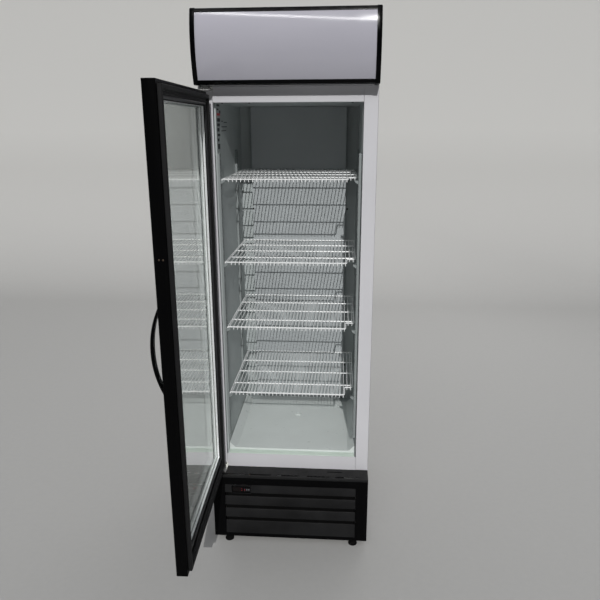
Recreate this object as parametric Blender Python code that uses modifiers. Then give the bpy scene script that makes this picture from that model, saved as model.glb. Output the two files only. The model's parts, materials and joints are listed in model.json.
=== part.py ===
"""Glass door merchandiser: an upright single-door display cooler.

A white foamed steel cabinet with four wire shelves stands on a black machine base and
carries a curved light box. The glass door hangs on the left and stands open at rest.

Cabinet frame: X across (right +), Y from the front face (0) to the back, Z up from the
floor. Everything hangs on the empty "datum", which moves the cabinet frame so that the
origin lies under the middle of the whole unit with its door open.
"""
import math

import bmesh
import bpy
from mathutils import Matrix, Vector

# ---- driving dimensions, in metres ------------------------------------------------
GAP = 0.0003                     # clearance between touching pieces
SHEET = 0.0015                   # outer steel sheet

CAB_WIDTH = 0.620
CAB_DEPTH = 0.585
FOOT_HEIGHT = 0.030
BASE_TOP = 0.312                 # top of the machine base, underside of the cold box
CAB_TOP = 1.782
TOTAL_HEIGHT = 2.018
DATUM = (0.0089, 0.0295, 0.0)    # cabinet frame's place in the part's own frame

STILE_WIDTH = 0.0493             # front flange of each side sheet
FRAME_DEPTH = 0.030              # depth of the foamed front frame behind the face
OPENING_HALF = 0.2572            # inside of the liner, half width
FLOOR_Z = 0.370
CEILING_Z = 1.729
LINER_BACK = 0.548
LINER_T = 0.0012

LEDGE = 0.071                    # how far the base stands in front of the face
GRILLE_SHEET = 0.003
CHEEK_T = 0.0025
GRILLE_MARGIN = 0.048
GRILLE_TOP_BAND = 0.041
LOUVRE_PITCH = 0.0567
LOUVRE_HEIGHT = 0.0435
LOUVRE_SETBACK = 0.0075          # top edge of a louvre lies this far behind its foot
LOUVRE_COUNT = 4

SHELF_HEIGHTS = (0.624, 0.900, 1.157, 1.465)
SHELF_HALF = 0.247
SHELF_FRONT = 0.036
SHELF_REAR = 0.507
SHELF_BARS_Y = (0.038, 0.131, 0.258, 0.381, 0.505)
SHELF_T = 0.006
SHELF_NOTCH = (0.213, 0.108)     # the front right corner is cut away past this X, before this Y
SHELF_COLUMNS = 9
WIRE = 0.004

PILASTER_T = 0.009
PILASTER_W = 0.024
PILASTER_Z = (0.444, 1.556)
PILASTER_FRONT_Y = 0.034
PILASTER_REAR_Y = 0.395

DOOR_WIDTH = 0.619
DOOR_BOTTOM = 0.325
DOOR_TOP = 1.764
DOOR_T = 0.036                   # rigid frame, without the gasket
GASKET_T = 0.012
DOOR_FACE = 0.050                # outer face in front of the cabinet when shut
PIN_INSET = 0.008                # hinge pin from the door's edge and from its outer face
DOOR_OPEN_DEG = 88.84
DOOR_STILE = 0.050
DOOR_HEAD = 0.049
DOOR_FOOT = 0.074
GLASS_T = 0.004
GLASS_TUCK = 0.012               # how far the panes sit inside the frame's groove
PANE_OUTER_T0 = 0.006
PANE_INNER_T0 = 0.022

HANDLE_MID_Z = 1.051
HANDLE_LENGTH = 0.268
HANDLE_RISE = 0.031
HANDLE_BAR = 0.009
HANDLE_WIDTH = 0.022
HANDLE_FROM_EDGE = 0.026

CANOPY_END = 0.016               # thickness of each end cap
CANOPY_TRIM = 0.0142
CANOPY_BACK_Y = 0.120
CANOPY_FACE_BOTTOM = -0.060      # Y of the curved face at its foot, crown and head
CANOPY_FACE_CROWN = -0.085
CANOPY_FACE_TOP = -0.069

FAN_Z = 0.165                    # condenser fan axis
FAN_X = 0.085
BLADE_PITCH_DEG = 28.0
EVAP_FAN_Z = 1.600
DRAIN_XY = (0.003, 0.357)

HALF = CAB_WIDTH / 2
SEAM_X = HALF - STILE_WIDTH

MATERIALS = {
    # slot: (colour, roughness, metallic)
    "white_steel": ((0.80, 0.81, 0.81), 0.35, 0.0),
    "white_liner": ((0.82, 0.84, 0.84), 0.40, 0.0),
    "galvanised": ((0.55, 0.56, 0.57), 0.45, 0.9),
    "foam": ((0.78, 0.68, 0.45), 0.90, 0.0),
    "white_wire": ((0.88, 0.88, 0.88), 0.35, 0.0),
    "white_plastic": ((0.80, 0.81, 0.80), 0.45, 0.0),
    "black_steel": ((0.015, 0.015, 0.016), 0.45, 0.0),
    "black_plastic": ((0.012, 0.012, 0.013), 0.40, 0.0),
    "black_frame": ((0.010, 0.010, 0.011), 0.35, 0.0),
    "gasket": ((0.05, 0.05, 0.052), 0.60, 0.0),
    "glass": ((0.85, 0.90, 0.88), 0.03, 0.0),
    "spacer": ((0.60, 0.61, 0.62), 0.35, 0.9),
    "sign_acrylic": ((0.62, 0.62, 0.65), 0.15, 0.0),
    "lamp": ((0.90, 0.90, 0.88), 0.30, 0.0),
    "copper": ((0.70, 0.38, 0.25), 0.35, 1.0),
    "aluminium": ((0.70, 0.71, 0.72), 0.40, 0.9),
    "zinc": ((0.66, 0.67, 0.68), 0.35, 0.9),
    "compressor_black": ((0.02, 0.02, 0.02), 0.30, 0.0),
    "red_rocker": ((0.45, 0.02, 0.02), 0.30, 0.0),
    "display": ((0.02, 0.01, 0.01), 0.08, 0.0),
    "key_grey": ((0.20, 0.20, 0.21), 0.55, 0.0),
    "rubber": ((0.02, 0.02, 0.02), 0.80, 0.0),
}


# ---- scene and material helpers ---------------------------------------------------
def clear_scene():
    for obj in list(bpy.data.objects):
        bpy.data.objects.remove(obj, do_unlink=True)


def make_collection(name):
    collection = bpy.data.collections.new(name)
    bpy.context.scene.collection.children.link(collection)
    return collection


def make_material(slot):
    color, roughness, metallic = MATERIALS[slot]
    mat = bpy.data.materials.new(slot)
    mat.use_nodes = True
    shader = mat.node_tree.nodes["Principled BSDF"]
    shader.inputs["Base Color"].default_value = (*color, 1.0)
    shader.inputs["Roughness"].default_value = roughness
    shader.inputs["Metallic"].default_value = metallic
    mat.diffuse_color = (*color, 1.0)
    return mat


clear_scene()
PARTS = make_collection("glass_door_merchandiser")
CUTTERS = make_collection("cutters")
MATS = {slot: make_material(slot) for slot in MATERIALS}


def make_empty(name, location, parent=None, turn_z=0.0):
    empty = bpy.data.objects.new(name, None)
    empty.parent = parent
    empty.location = location
    empty.rotation_euler = (0.0, 0.0, turn_z)
    PARTS.objects.link(empty)
    return empty


datum = make_empty("datum", DATUM)
DOOR_PIVOT = (-HALF + PIN_INSET, -DOOR_FACE + PIN_INSET, 0.0)
door_axis = make_empty("door_axis", DOOR_PIVOT, datum, -math.radians(DOOR_OPEN_DEG))


def place(name, mesh, slot=None, parent=datum, pivot=(0.0, 0.0, 0.0)):
    """Link a mesh as a part, or as a hidden tool where slot is None."""
    if any(pivot):
        mesh.transform(Matrix.Translation(-Vector(pivot)))
    obj = bpy.data.objects.new(name, mesh)
    obj.parent = parent
    obj.location = pivot
    if slot is None:
        obj.hide_render = True
        obj.display_type = "WIRE"
        CUTTERS.objects.link(obj)
    else:
        mesh.materials.append(MATS[slot])
        PARTS.objects.link(obj)
    return obj


def mesh_from(bm, name):
    mesh = bpy.data.meshes.new(name)
    bmesh.ops.recalc_face_normals(bm, faces=bm.faces)
    bm.to_mesh(mesh)
    bm.free()
    return mesh


def add_box(bm, low, high):
    size = [h - l for l, h in zip(low, high)]
    middle = [(l + h) / 2 for l, h in zip(low, high)]
    matrix = Matrix.Translation(middle) @ Matrix.Diagonal((*size, 1.0))
    return bmesh.ops.create_cube(bm, size=1.0, matrix=matrix)["verts"]


def box_mesh(name, *boxes):
    bm = bmesh.new()
    for low, high in boxes:
        add_box(bm, low, high)
    return mesh_from(bm, name)


def box(name, low, high, slot=None, parent=datum, pivot=(0.0, 0.0, 0.0)):
    return place(name, box_mesh(name, (low, high)), slot, parent, pivot)


AXIS_TURN = {
    "X": Matrix.Rotation(math.pi / 2, 4, "Y"),
    "Y": Matrix.Rotation(-math.pi / 2, 4, "X"),
    "Z": Matrix.Identity(4),
}


def cylinder_mesh(name, centre, radius, length, axis="Z", segments=16):
    bm = bmesh.new()
    matrix = Matrix.Translation(centre) @ AXIS_TURN[axis]
    bmesh.ops.create_cone(
        bm, cap_ends=True, segments=segments, radius1=radius, radius2=radius,
        depth=length, matrix=matrix,
    )
    return mesh_from(bm, name)


def cylinder(name, centre, radius, length, axis="Z", slot=None, parent=datum, segments=16,
             pivot=(0.0, 0.0, 0.0)):
    mesh = cylinder_mesh(name, centre, radius, length, axis, segments)
    return place(name, mesh, slot, parent, pivot)


def prism_mesh(name, outline, axis, start, end):
    """A closed outline extruded along an axis; the outline gives the other two axes in order."""
    def point(pair, along):
        values = list(pair)
        values.insert("XYZ".index(axis), along)
        return values
    bm = bmesh.new()
    face = bm.faces.new([bm.verts.new(point(pair, start)) for pair in outline])
    grown = bmesh.ops.extrude_face_region(bm, geom=[face])["geom"]
    step = Vector(point((0.0, 0.0), end - start))
    bmesh.ops.translate(bm, vec=step, verts=[g for g in grown if isinstance(g, bmesh.types.BMVert)])
    return mesh_from(bm, name)


def prism(name, outline, axis, start, end, slot=None, parent=datum, pivot=(0.0, 0.0, 0.0)):
    return place(name, prism_mesh(name, outline, axis, start, end), slot, parent, pivot)


def turned(name, profile, slot, centre, parent=datum, steps=20, turn=(0.0, 0.0, 0.0)):
    """A solid of revolution: profile is (radius, height) pairs, outer side top to bottom."""
    bm = bmesh.new()
    verts = [bm.verts.new((radius, 0.0, height)) for radius, height in profile]
    for a, b in zip(verts, verts[1:]):
        bm.edges.new((a, b))
    mesh = bpy.data.meshes.new(name)
    bm.to_mesh(mesh)
    bm.free()
    obj = place(name, mesh, slot, parent)
    obj.location = centre
    obj.rotation_euler = turn
    screw = obj.modifiers.new("turn", "SCREW")
    screw.steps = steps
    screw.render_steps = steps
    screw.use_merge_vertices = True
    screw.merge_threshold = 0.00001
    screw.use_smooth_shade = True
    return obj


def boolean(target, tool, operation):
    modifier = target.modifiers.new(tool.name, "BOOLEAN")
    modifier.operation = operation
    modifier.solver = "EXACT"
    modifier.object = tool
    return target


def cut(target, tool):
    return boolean(target, tool, "DIFFERENCE")


def join(target, tool):
    return boolean(target, tool, "UNION")


def bevel(obj, width, segments=2):
    modifier = obj.modifiers.new("edges", "BEVEL")
    modifier.width = width
    modifier.segments = segments
    modifier.limit_method = "ANGLE"
    modifier.angle_limit = math.radians(40)
    return obj


def ring(name, low, high, inner_low, inner_high, slot, parent=datum):
    """A rectangular frame in the XZ plane: a block with a through opening along Y."""
    obj = box(name, low, high, slot, parent)
    margin = 0.01
    opening_low = (inner_low[0], low[1] - margin, inner_low[1])
    opening_high = (inner_high[0], high[1] + margin, inner_high[1])
    return cut(obj, box(name + "_opening", opening_low, opening_high, parent=parent))


def tube(name, points, radius, slot, parent=datum, resolution=1):
    """A round bar along smooth points, made a mesh so that its caps are welded."""
    curve = bpy.data.curves.new(name, "CURVE")
    curve.dimensions = "3D"
    curve.bevel_depth = radius
    curve.bevel_resolution = resolution
    curve.use_fill_caps = True
    spline = curve.splines.new("POLY")
    spline.points.add(len(points) - 1)
    for knot, point in zip(spline.points, points):
        knot.co = (*point, 1.0)
    source = bpy.data.objects.new(name + "_path", curve)
    CUTTERS.objects.link(source)
    depsgraph = bpy.context.evaluated_depsgraph_get()
    mesh = bpy.data.meshes.new_from_object(source.evaluated_get(depsgraph))
    bpy.data.objects.remove(source)
    bm = bmesh.new()
    bm.from_mesh(mesh)
    bmesh.ops.remove_doubles(bm, verts=bm.verts, dist=0.00001)
    bmesh.ops.recalc_face_normals(bm, faces=bm.faces)
    bm.to_mesh(mesh)
    bm.free()
    mesh.name = name
    mesh.materials.clear()
    return place(name, mesh, slot, parent)


def rounded_path(corners, radius, steps=4):
    """Corners joined by straight runs with a circular bend at each inner corner."""
    points = [Vector(corners[0])]
    for before, corner, after in zip(corners, corners[1:], corners[2:]):
        corner = Vector(corner)
        to_before = (Vector(before) - corner).normalized()
        to_after = (Vector(after) - corner).normalized()
        angle = to_before.angle(to_after)
        reach = radius / math.tan(angle / 2)
        axis = (to_before + to_after).normalized()
        centre = corner + axis * (radius / math.sin(angle / 2))
        start = corner + to_before * reach - centre
        end = corner + to_after * reach - centre
        for step in range(steps + 1):
            arm = start.normalized().slerp(end.normalized(), step / steps)
            points.append(centre + arm * radius)
    points.append(Vector(corners[-1]))
    return points


# ---- cold box ---------------------------------------------------------------------
def outer_shell():
    """Side sheets with front flanges, joined by the roof sheet."""
    back = CAB_DEPTH - SHEET - GAP
    roof_low = (-HALF, 0.0, CAB_TOP - SHEET)
    shell = box("outer_shell", roof_low, (HALF, back, CAB_TOP), "white_steel")
    for side, sign in (("left", -1), ("right", 1)):
        edge = sorted((sign * HALF, sign * (HALF - SHEET)))
        low = (edge[0], 0.0, FOOT_HEIGHT + GAP)
        sheet = box(f"shell_side_{side}", low, (edge[1], back, CAB_TOP - SHEET / 2))
        join(shell, sheet)
        flange = sorted((sign * (HALF - SHEET / 2), sign * SEAM_X))
        low = (flange[0], 0.0, BASE_TOP + GAP)
        join(shell, box(f"shell_flange_{side}", low, (flange[1], SHEET, CAB_TOP - SHEET / 2)))
    return shell


def back_panel():
    low = (-HALF, CAB_DEPTH - SHEET, BASE_TOP + GAP)
    return box("back_panel", low, (HALF, CAB_DEPTH, CAB_TOP), "galvanised")


def insulation():
    """Foam between the sheets and the liner, open at the front."""
    side = HALF - SHEET - GAP
    low = (-side, FRAME_DEPTH + 2 * GAP + LINER_T, BASE_TOP + SHEET)
    high = (side, CAB_DEPTH - SHEET - 2 * GAP, CAB_TOP - SHEET - GAP)
    foam = box("insulation", low, high, "foam")
    inside = OPENING_HALF + LINER_T + GAP
    hollow_low = (-inside, -0.01, FLOOR_Z - LINER_T - GAP)
    hollow_high = (inside, LINER_BACK + LINER_T + GAP, CEILING_Z + LINER_T + GAP)
    return cut(foam, box("foam_hollow", hollow_low, hollow_high))


def inner_liner():
    """Five-sided liner with an outward flange behind the front frame."""
    front = FRAME_DEPTH + GAP
    skin = OPENING_HALF + LINER_T
    low = (-skin, front, FLOOR_Z - LINER_T)
    high = (skin, LINER_BACK + LINER_T, CEILING_Z + LINER_T)
    liner = box("inner_liner", low, high, "white_liner")
    reach = HALF - SHEET - 2 * GAP
    flange_high = (reach, front + LINER_T, CAB_TOP - SHEET - 2 * GAP)
    join(liner, box("liner_flange", (-reach, front, BASE_TOP + SHEET), flange_high))
    inside_low = (-OPENING_HALF, front - 0.01, FLOOR_Z)
    inside_high = (OPENING_HALF, LINER_BACK, CEILING_Z)
    return cut(liner, box("liner_hollow", inside_low, inside_high))


def front_rail(name, z_low, z_high):
    """Cross piece of the front frame: a face plate with a narrower body behind it."""
    reach = SEAM_X - GAP
    rail = box(name, (-reach, 0.0, z_low), (reach, SHEET + GAP, z_high), "white_steel")
    body_low = (-OPENING_HALF + GAP, SHEET / 2, z_low)
    body = box(name + "_body", body_low, (OPENING_HALF - GAP, FRAME_DEPTH, z_high))
    return join(rail, body)


def floor_pan():
    """Moulded tray on the liner's floor, with sloping flanks and a drain hole."""
    half = OPENING_HALF - 0.0017
    rise = 0.030
    outline = [(-half, 0.0), (half, 0.0), (half, rise), (half - 0.002, rise),
               (half - 0.030, 0.0035), (-half + 0.030, 0.0035), (-half + 0.002, rise),
               (-half, rise)]
    base = FLOOR_Z + GAP
    outline = [(x, base + z) for x, z in outline]
    pan = prism("floor_pan", outline, "Y", FRAME_DEPTH + 0.003, 0.500, "white_plastic")
    lip_low = (-half + 0.002, FRAME_DEPTH + 0.003, base + 0.001)
    join(pan, box("floor_pan_lip", lip_low, (half - 0.002, FRAME_DEPTH + 0.016, base + 0.009)))
    return cut(pan, cylinder("pan_drain_hole", (*DRAIN_XY, FLOOR_Z), 0.0105, 0.1))


def drain_spout(pan_top):
    """Flanged tube from the tray's drain hole through the floor into the base."""
    profile = [(0.0065, pan_top), (0.016, pan_top), (0.016, pan_top - 0.0018),
               (0.0090, pan_top - 0.0018), (0.0090, 0.110), (0.0065, 0.110),
               (0.0065, pan_top)]
    spout = turned("drain_spout", profile, "white_plastic", (*DRAIN_XY, 0.0), steps=12)
    return spout


def drill_drain_path(*pieces):
    for piece in pieces:
        tool = cylinder(piece.name + "_drain", (*DRAIN_XY, 0.35), 0.0105, 0.3, segments=12)
        cut(piece, tool)


def duct_panel():
    """Air duct cover on the back wall: a shallow channel, open at its foot and under the ceiling."""
    half, front, back = 0.205, 0.509, LINER_BACK - GAP
    top = CEILING_Z - GAP
    panel = box("duct_panel", (-half, front, 0.398), (half, back, top), "white_liner")
    low = (-half + SHEET, front + SHEET, 0.3)
    return cut(panel, box("duct_hollow", low, (half - SHEET, back + 0.01, 1.8)))


def finned_block(name, low, high, fins, slot):
    """A fin pack: a spine with a comb of plates standing on it, extruded upwards."""
    x0, y0, z0 = low
    x1, y1, z1 = high
    pitch = (x1 - x0) / fins
    root = y0 + (y1 - y0) * 0.35
    outline = [(x0, y1), (x0, y0)]
    for index in range(fins):
        left = x0 + index * pitch
        outline += [(left + pitch * 0.45, y0), (left + pitch * 0.45, root)]
        outline += [(left + pitch, root), (left + pitch, y0)] if index < fins - 1 else []
    outline += [(x1, root), (x1, y1)]
    return prism(name, outline, "Z", z0, z1, slot)


def pilaster(name, sign, middle_y):
    """Slotted upright on a side wall, with the four clips that carry the shelves."""
    wall = OPENING_HALF - GAP
    xs = sorted((sign * wall, sign * (wall - PILASTER_T)))
    y0, y1 = middle_y - PILASTER_W / 2, middle_y + PILASTER_W / 2
    low = (xs[0], y0, PILASTER_Z[0])
    upright = box(name, low, (xs[1], y1, PILASTER_Z[1]), "white_plastic")
    reach = sorted((sign * (wall - PILASTER_T / 2), sign * (wall - PILASTER_T - 0.010)))
    for number, height in enumerate(SHELF_HEIGHTS, 1):
        top = height - SHELF_T / 2 - GAP
        clip_low = (reach[0], middle_y - 0.008, top - 0.009)
        join(upright, box(f"{name}_clip_{number}", clip_low, (reach[1], middle_y + 0.008, top)))
    return upright


def shelf(name, height):
    """Wire shelf as a flat grid of bars, with its front right corner notched."""
    z0, z1 = height - SHELF_T / 2, height + SHELF_T / 2
    low = (-SHELF_HALF, SHELF_FRONT, z0)
    pivot = (0.0, SHELF_FRONT, height)
    grid = box(name, low, (SHELF_HALF, SHELF_REAR, z1), "white_wire", pivot=pivot)
    margin = 0.01
    notch_x, notch_y = SHELF_NOTCH
    notch_low = (notch_x + WIRE / 2, SHELF_FRONT - margin, z0 - margin)
    cut(grid, box(name + "_notch", notch_low, (SHELF_HALF + margin, notch_y, z1 + margin)))
    holes = []
    pitch = (2 * SHELF_HALF - WIRE) / SHELF_COLUMNS
    for row, (front, rear) in enumerate(zip(SHELF_BARS_Y, SHELF_BARS_Y[1:])):
        for column in range(SHELF_COLUMNS):
            left = -SHELF_HALF + WIRE + column * pitch
            right = left + pitch - WIRE
            near = front + WIRE / 2
            if row == 0 and column == SHELF_COLUMNS - 1:
                holes.append(((left, near), (notch_x - WIRE / 2, rear - WIRE / 2)))
                left, near = notch_x + WIRE / 2, notch_y + WIRE
            holes.append(((left, near), (right, rear - WIRE / 2)))
    boxes = [((*a, z0 - margin), (*b, z1 + margin)) for a, b in holes]
    return cut(grid, place(name + "_holes", box_mesh(name + "_holes", *boxes)))


# ---- machine base -----------------------------------------------------------------
def base_pan():
    """Chassis plate with turned-up side flanges."""
    half = HALF - CHEEK_T - GAP
    low = (-half, -LEDGE + GRILLE_SHEET + GAP, FOOT_HEIGHT)
    high = (half, CAB_DEPTH - SHEET - GAP, FOOT_HEIGHT + 0.004)
    pan = box("base_pan", low, high, "galvanised")
    for side, sign in (("left", -1), ("right", 1)):
        xs = sorted((sign * half, sign * (half - 0.002)))
        low = (xs[0], 0.010, FOOT_HEIGHT + 0.002)
        join(pan, box(f"pan_flange_{side}", low, (xs[1], high[1], FOOT_HEIGHT + 0.024)))
    return pan


def foot(name, x, y):
    """Levelling foot: a pad, a lock nut and the top of its threaded stem."""
    top = FOOT_HEIGHT - GAP
    profile = [(0.0, top), (0.0055, top), (0.0055, 0.020), (0.0095, 0.020), (0.0095, 0.013),
               (0.0060, 0.013), (0.0060, 0.010), (0.0150, 0.008), (0.0180, 0.003),
               (0.0180, 0.0), (0.0, 0.0)]
    return turned(name, profile, "rubber", (x, y, 0.0), steps=16)


def louvre(index):
    """One inclined blade across the grille opening."""
    top = BASE_TOP - GRILLE_TOP_BAND - index * LOUVRE_PITCH - GAP
    height = LOUVRE_HEIGHT
    if index == LOUVRE_COUNT - 1:
        height = LOUVRE_PITCH
    foot_y = -LEDGE + 0.0005
    thick = 0.0018
    outline = [(foot_y, top - height), (foot_y + LOUVRE_SETBACK, top),
               (foot_y + LOUVRE_SETBACK + thick, top), (foot_y + thick, top - height)]
    reach = HALF - GRILLE_MARGIN + 0.002
    return prism(f"louvre_{index + 1}", outline, "X", -reach, reach)


def front_grille():
    """Black base front: face with louvres, vented ledge and two side cheeks."""
    face_back = -LEDGE + GRILLE_SHEET
    grille = box("front_grille", (-HALF, -LEDGE, FOOT_HEIGHT),
                 (HALF, face_back, BASE_TOP), "black_steel")
    opening_x = HALF - GRILLE_MARGIN
    low_z = BASE_TOP - GRILLE_TOP_BAND - LOUVRE_COUNT * LOUVRE_PITCH
    opening_low = (-opening_x, -LEDGE - 0.01, low_z)
    opening_high = (opening_x, face_back + 0.01, BASE_TOP - GRILLE_TOP_BAND)
    cut(grille, box("grille_opening", opening_low, opening_high))
    ledge_low = (-HALF, -LEDGE + 0.001, BASE_TOP - 0.0025)
    join(grille, box("grille_ledge", ledge_low, (HALF, -GAP, BASE_TOP)))
    for side, sign in (("left", -1), ("right", 1)):
        xs = sorted((sign * HALF, sign * (HALF - CHEEK_T)))
        low = (xs[0], -LEDGE + 0.001, FOOT_HEIGHT)
        join(grille, box(f"grille_cheek_{side}", low, (xs[1], -GAP, BASE_TOP - 0.001)))
    for index in range(LOUVRE_COUNT):
        join(grille, louvre(index))
    slots = []
    for index in range(5):
        middle = (index - 2) * 0.114
        slots.append(((middle - 0.045, -0.0605, BASE_TOP - 0.01),
                      (middle + 0.045, -0.0560, BASE_TOP + 0.01)))
    slots.append(((0.147, -0.0240, BASE_TOP - 0.01), (0.208, -0.0200, BASE_TOP + 0.01)))
    cut(grille, place("ledge_slots", box_mesh("ledge_slots", *slots)))
    return grille


CONTROL_X = (-0.235, -0.156)
CONTROL_Z = (0.2345, 0.2685)


def controller_body():
    """Panel thermostat: a bezel in front of the top louvre and its housing behind."""
    x0, x1 = CONTROL_X
    z0, z1 = CONTROL_Z
    front = -LEDGE - 0.0035
    body = box("controller_body", (x0, front, z0), (x1, -LEDGE - GAP, z1), "black_plastic")
    join(body, box("controller_housing", (x0 + 0.004, -LEDGE - 0.001, z0 + 0.003),
                   (x1 - 0.004, -LEDGE + 0.045, z1 - 0.003)))
    window = (x0 + 0.006, front - 0.01, z0 + 0.007), (x0 + 0.046, front + 0.0015, z1 - 0.007)
    cut(body, box("window_recess", *window))
    wells = []
    for index in range(3):
        left = x0 + 0.051 + index * 0.0085
        wells.append(((left, front - 0.01, z0 + 0.009), (left + 0.0065, front + 0.0022, z1 - 0.009)))
    return cut(body, place("key_wells", box_mesh("key_wells", *wells)))


def controller_window():
    x0 = CONTROL_X[0]
    z0, z1 = CONTROL_Z
    front = -LEDGE - 0.0035
    low = (x0 + 0.006 + GAP, front + 0.0003, z0 + 0.007 + GAP)
    high = (x0 + 0.046 - GAP, front + 0.0015 - GAP, z1 - 0.007 - GAP)
    return box("controller_window", low, high, "display")


def controller_key(name, index):
    """Push key standing 0.6 mm proud of the bezel, with room to travel in its well."""
    z0, z1 = CONTROL_Z
    front = -LEDGE - 0.0035
    left = CONTROL_X[0] + 0.051 + index * 0.0085
    low = (left + GAP, front - 0.0006, z0 + 0.009 + GAP)
    high = (left + 0.0065 - GAP, front + 0.0012, z1 - 0.009 - GAP)
    return box(name, low, high, "key_grey", pivot=(left + 0.00325, front, (z0 + z1) / 2))


def clear_controller(grille):
    x0, x1 = CONTROL_X
    z0, z1 = CONTROL_Z
    low = (x0 + 0.004 - GAP, -LEDGE - 0.01, z0 + 0.003 - GAP)
    high = (x1 - 0.004 + GAP, 0.0, z1 - 0.003 + GAP)
    return cut(grille, box("controller_cutout", low, high))


PAN_TOP = FOOT_HEIGHT + 0.004
COMPRESSOR_XY = (-0.175, 0.420)


def compressor():
    """Hermetic compressor: domed pot, terminal box, mounting plate and four grommets."""
    x, y = COMPRESSOR_XY
    profile = [(0.0, 0.222), (0.040, 0.218), (0.062, 0.204), (0.072, 0.180), (0.073, 0.135),
               (0.078, 0.133), (0.078, 0.125), (0.073, 0.123), (0.070, 0.085),
               (0.055, 0.060), (0.0, 0.052)]
    pot = turned("compressor", profile, "compressor_black", (x, y, 0.0), steps=20)
    plate = (-0.060, -0.085, 0.050), (0.060, 0.085, 0.056)
    join(pot, box("compressor_plate", *[(x + p[0], y + p[1], p[2]) for p in plate]))
    terminal = (0.055, -0.025, 0.110), (0.100, 0.025, 0.170)
    join(pot, box("terminal_box", *[(x + p[0], y + p[1], p[2]) for p in terminal]))
    for sx in (-1, 1):
        for sy in (-1, 1):
            centre = (x + sx * 0.048, y + sy * 0.072, (PAN_TOP + GAP + 0.052) / 2)
            height = 0.052 - PAN_TOP - GAP
            join(pot, cylinder(f"grommet_{sx}_{sy}", centre, 0.009, height, segments=10))
    return pot


def fan_rotor(name, centre, hub_r, tip_r, depth, blades, slot, segments=16):
    """Hub on a Y axis with flat pitched paddles let into it."""
    mesh = cylinder_mesh(name, centre, hub_r, depth, "Y", segments)
    rotor = place(name, mesh, slot, pivot=centre)
    root, tip = hub_r * 0.75, tip_r
    chord = depth * 1.35
    outline = [(root, -chord * 0.35), (tip * 0.86, -chord * 0.5), (tip * 0.97, -chord * 0.2),
               (tip * 0.97, chord * 0.3), (tip * 0.80, chord * 0.5), (root, chord * 0.35)]
    bm = bmesh.new()
    for index in range(blades):
        turn = Matrix.Rotation(2 * math.pi * index / blades, 4, "Y")
        pitch = Matrix.Rotation(math.radians(BLADE_PITCH_DEG), 4, "X")
        seat = Matrix.Translation(centre) @ turn @ pitch
        sides = []
        for half in (-0.0009, 0.0009):
            sides.append([bm.verts.new(seat @ Vector((r, half, w))) for r, w in outline])
        bm.faces.new(sides[0])
        bm.faces.new(reversed(sides[1]))
        for k in range(len(outline)):
            after = (k + 1) % len(outline)
            bm.faces.new((sides[0][k], sides[0][after], sides[1][after], sides[1][k]))
    return join(rotor, place(name + "_blades", mesh_from(bm, name + "_blades")))


def fan_frame(name, centre, half, hole_r, depth, slot, hub_r, back):
    """Square fan frame with a round throat and a cross that carries the motor."""
    x, y, z = centre
    low = (x - half, y - depth / 2, z - half)
    frame = box(name, low, (x + half, y + depth / 2, z + half), slot)
    cut(frame, cylinder(name + "_throat", centre, hole_r, depth + 0.02, "Y", segments=24))
    arm_y = (y + depth / 2 - 0.004, y + depth / 2) if back else (y - depth / 2, y - depth / 2 + 0.004)
    arm = 0.004
    low, high = (x - half + 0.002, arm_y[0], z - arm), (x + half - 0.002, arm_y[1], z + arm)
    join(frame, box(name + "_arm_x", low, high))
    low, high = (x - arm, arm_y[0], z - half + 0.002), (x + arm, arm_y[1], z + half - 0.002)
    join(frame, box(name + "_arm_z", low, high))
    middle = (x, sum(arm_y) / 2, z)
    return join(frame, cylinder(name + "_boss", middle, hub_r, 0.0041, "Y", segments=16))


def rear_grille():
    """Slotted cover over the back of the machine space."""
    half = HALF - SHEET - GAP
    low = (-half, CAB_DEPTH - SHEET, PAN_TOP + GAP)
    cover = box("rear_grille", low, (half, CAB_DEPTH, BASE_TOP - GAP), "galvanised")
    slots = []
    for row in range(6):
        z = 0.075 + row * 0.036
        for column in range(4):
            left = -0.270 + column * 0.140
            slots.append(((left, CAB_DEPTH - 0.02, z), (left + 0.120, CAB_DEPTH + 0.02, z + 0.012)))
    return cut(cover, place("rear_slots", box_mesh("rear_slots", *slots)))


def cord_gland(grille):
    """Bush through the rear cover where the supply lead would enter."""
    centre = (0.285, CAB_DEPTH, 0.290)
    gland = cylinder("cord_gland", (centre[0], CAB_DEPTH - 0.003, centre[2]), 0.0065, 0.024, "Y",
                     "black_plastic")
    collar = cylinder("gland_collar", (centre[0], CAB_DEPTH + 0.0033, centre[2]), 0.010, 0.006, "Y")
    join(gland, collar)
    cut(gland, cylinder("gland_bore", centre, 0.0042, 0.08, "Y", segments=12))
    cut(grille, cylinder("gland_hole", centre, 0.0065 + GAP, 0.05, "Y"))
    return gland


# ---- light box --------------------------------------------------------------------
CANOPY_LOW = CAB_TOP + GAP


def face_y(z):
    """Y of the canopy's curved face at height z: a circular-looking arc through three points."""
    share = (z - CAB_TOP) / (TOTAL_HEIGHT - CAB_TOP)
    foot_w = 2 * (share - 0.5) * (share - 1.0)
    crown_w = -4 * share * (share - 1.0)
    head_w = 2 * share * (share - 0.5)
    return (CANOPY_FACE_BOTTOM * foot_w + CANOPY_FACE_CROWN * crown_w
            + CANOPY_FACE_TOP * head_w)


def face_arc(z_low, z_high, steps, inward=0.0):
    heights = [z_low + (z_high - z_low) * i / steps for i in range(steps + 1)]
    return [(face_y(z) + inward, z) for z in heights]


def canopy_end(name, sign):
    """Moulded end cap that follows the curved face."""
    xs = sorted((sign * HALF, sign * (HALF - CANOPY_END)))
    outline = [(CANOPY_BACK_Y, CANOPY_LOW)] + face_arc(CANOPY_LOW, TOTAL_HEIGHT, 8)
    outline.append((CANOPY_BACK_Y, TOTAL_HEIGHT))
    return prism(name, outline, "X", xs[0], xs[1], "black_plastic")


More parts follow.
